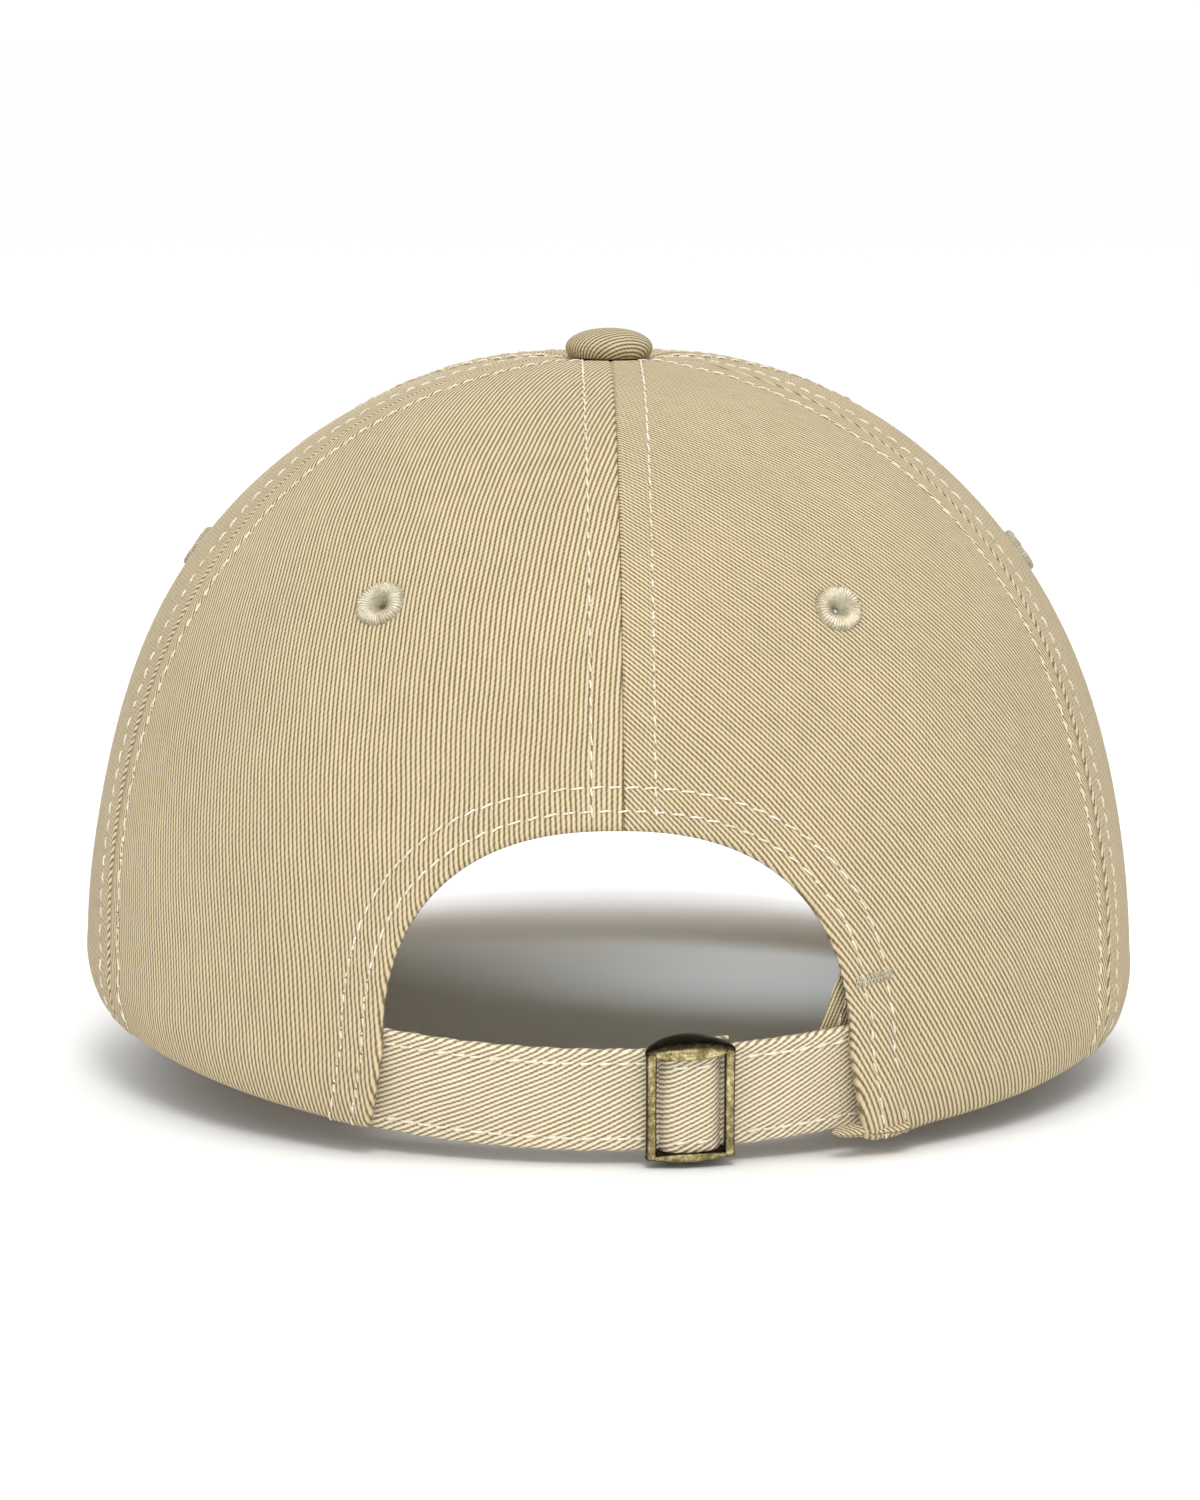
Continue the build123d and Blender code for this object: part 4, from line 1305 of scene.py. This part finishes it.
def build_visor():
    """Top and under cloth that meet at a rounded edge, with rows of stitching."""
    root, outer = visor_edges(300)
    part = np.concatenate([np.linspace(0.0, 0.94, 120), np.linspace(0.945, 1.0, 16)])[:, None]
    plan = share(root, outer, part[..., None])
    edge = smooth(0.955, 1.0, part)
    distance = np.linalg.norm(outer - root, axis=1)
    away = (1 - part) * distance
    dips = sum(bump(away, row, 0.55) for row in VISOR_ROWS)
    pillow = 0.1 + 0.1 * np.cos(TURN * (away - VISOR_ROWS[0]) / VISOR_ROW_PITCH)
    round_edge = (VISOR_THICKNESS / 2 - 0.08) * (1 - np.sqrt(np.clip(1 - edge ** 2, 0.0, 1.0)))
    top_depth = round_edge + 0.16 * dips + pillow * smooth(1.5, 4.0, away) * (1 - edge)
    for name, sign in (("visor_top_cover", 1), ("visor_under_cover", -1)):
        depth = top_depth if sign > 0 else VISOR_THICKNESS - top_depth
        face = visor_surface(plan, depth)[:, ::-sign]
        back = visor_surface(plan, depth + sign * 0.55 * (1 - 0.85 * edge))[:, ::-sign]
        mesh = shell(name + "_cloth", face, back, face[..., :2])
        show(mesh, TWILL_BAND, name)
    pile = Pile(29)
    for row in VISOR_ROWS:
        keep = distance > row + 4.0
        line = (outer + (root - outer) * (row / distance)[:, None])[keep]
        for sign, depth in ((1, 0.3), (-1, VISOR_THICKNESS - 0.3)):
            points = visor_surface(line, depth)
            slope = np.stack(np.broadcast_arrays(line[:, 0] / VISOR_ARCH_RADIUS, VISOR_SLOPE, 1.0), -1)
            stitch_row(pile, points, sign * unit(slope))
    pile.show("stitching_visor", THREAD)


# ---------------------------------------------------------------- bar tack and hidden parts

def build_bar_tack():
    """Close zigzag stitches across the top of the slot."""
    low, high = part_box("bar_tack")
    x = np.linspace(low.x, high.x, 40) / MM - 1.0
    z = np.linspace(low.z + 0.0006, high.z - 0.0006, 40) / MM
    place, normal, along = resample(*cloth_line(*on_crown(x, z)), 0.34)
    side = np.cross(normal, along)
    stations = np.linspace(-1.0, 1.0, 5)
    arc = 0.32 - 0.5 * stations ** 4
    pile = Pile(31)
    for k in range(len(place)):
        lean = 0.16 * (-1) ** k + pile.rng.uniform(-0.08, 0.08)
        run = side[k] * math.cos(lean) + along[k] * math.sin(lean)
        path = place[k] + run * (stations * 0.95)[:, None] + normal[k] * arc[:, None]
        pile.add(*tube(path, 0.19, sides=6))
    show(pile.mesh("bar_tack_stitches"), TACK_THREAD, "bar_tack")


def dress_hidden_nodes():
    """CAD nodes inside the cap that keep their own shape."""
    looks = {
        STEEL: ("button_shell", "button_rivet", "button_washer"),
        BOARD: ("visor_board",),
        BUCKRAM: ("front_left_buckram", "front_right_buckram"),
    }
    for material, names in looks.items():
        for name in names:
            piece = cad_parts[name]
            if not piece.material_slots:
                piece.data.materials.append(material)
            for slot in piece.material_slots:
                slot.material = material


# ---------------------------------------------------------------- stage, light, camera

def build_stage():
    corners = [(x * FLOOR_REACH / MM, y * FLOOR_REACH / MM, 0.0)
               for x, y in ((-1, -1), (1, -1), (1, 1), (-1, 1))]
    mesh = make_mesh("floor", corners, [(0, 1, 2, 3)], smooth_faces=False)
    floor = bpy.data.objects.new("floor", mesh)
    bpy.context.scene.collection.objects.link(floor)
    pale = Look("pale_floor").finish((0.985, 0.985, 0.985), 0.55, Specular_IOR_Level=0.0)
    mesh.materials.append(pale)


def aim(thing, place, target):
    """Links a lamp or camera that stands at a place and looks at a target."""
    bpy.context.scene.collection.objects.link(thing)
    thing.location = place
    thing.rotation_euler = (Vector(target) - Vector(place)).to_track_quat("-Z", "Y").to_euler()


def area_light(name, place, target, size, power, color=(1.0, 1.0, 1.0), spread=180.0):
    data = bpy.data.lights.new(name, "AREA")
    data.color = color
    data.spread = math.radians(spread)
    data.shape = "DISK"
    data.size = size
    data.energy = power
    lamp = bpy.data.objects.new(name, data)
    lamp.visible_camera = False
    aim(lamp, place, target)


def build_light():
    world = bpy.data.worlds.new("studio")
    bpy.context.scene.world = world
    world.use_nodes = True
    tree = world.node_tree
    back = tree.nodes["Background"]
    fill(tree, back.inputs["Color"], (1.0, 1.0, 1.0))
    # Even overhead and along the view, dimmer from both sides; the camera sees plain white.
    direction = Value(tree, node(tree, "TexCoord").outputs["Generated"])
    sideways = Value(tree, node(tree, "SeparateXYZ", direction).outputs[0])
    dimming = sideways * sideways * SIDE_DIMMING
    strength = maths(tree, "SUBTRACT", 1.0 + SIDE_DIMMING / 4, dimming)
    seen = Value(tree, node(tree, "LightPath").outputs["Is Camera Ray"])
    fill(tree, back.inputs["Strength"], maths(tree, "MAXIMUM", strength, seen))
    area_light("key", (0.1, -1.4, 1.5), (0.0, 0.0, 0.06), 0.7, 14.5)
    area_light("front_low", (-0.2, 1.3, 0.22), (0.0, 0.1, 0.0), 0.4, 5.0)
    # A small fill lamp hangs inside the crown and lights the table seen through the opening.
    area_light("under_crown", (0.025, 0.045, 0.08), (0.045, 0.125, 0.0), 0.025, 0.0135,
               color=(0.84, 0.93, 1.0), spread=110.0)
    bpy.context.scene.view_settings.view_transform = "Standard"


def build_camera():
    elevation = math.radians(CAMERA_ELEVATION)
    away = Vector((0.0, -math.cos(elevation), math.sin(elevation)))
    data = bpy.data.cameras.new("camera")
    data.sensor_width = 36.0
    data.lens = CAMERA_LENS
    data.shift_x = CAMERA_SHIFT
    camera = bpy.data.objects.new("camera", data)
    aim(camera, CAMERA_TARGET + away * CAMERA_DISTANCE, CAMERA_TARGET)
    bpy.context.scene.camera = camera


for build in (
    build_panels, build_crown_stitching, build_opening_stitching, build_facing, build_tapes,
    build_eyelets, build_button, build_strap, build_window_swell, build_tab, build_pocket,
    build_pocket_flap, build_pocket_lip, build_buckle, build_sweatband, build_visor,
    build_bar_tack, dress_hidden_nodes, build_stage, build_light, build_camera,
):
    build()
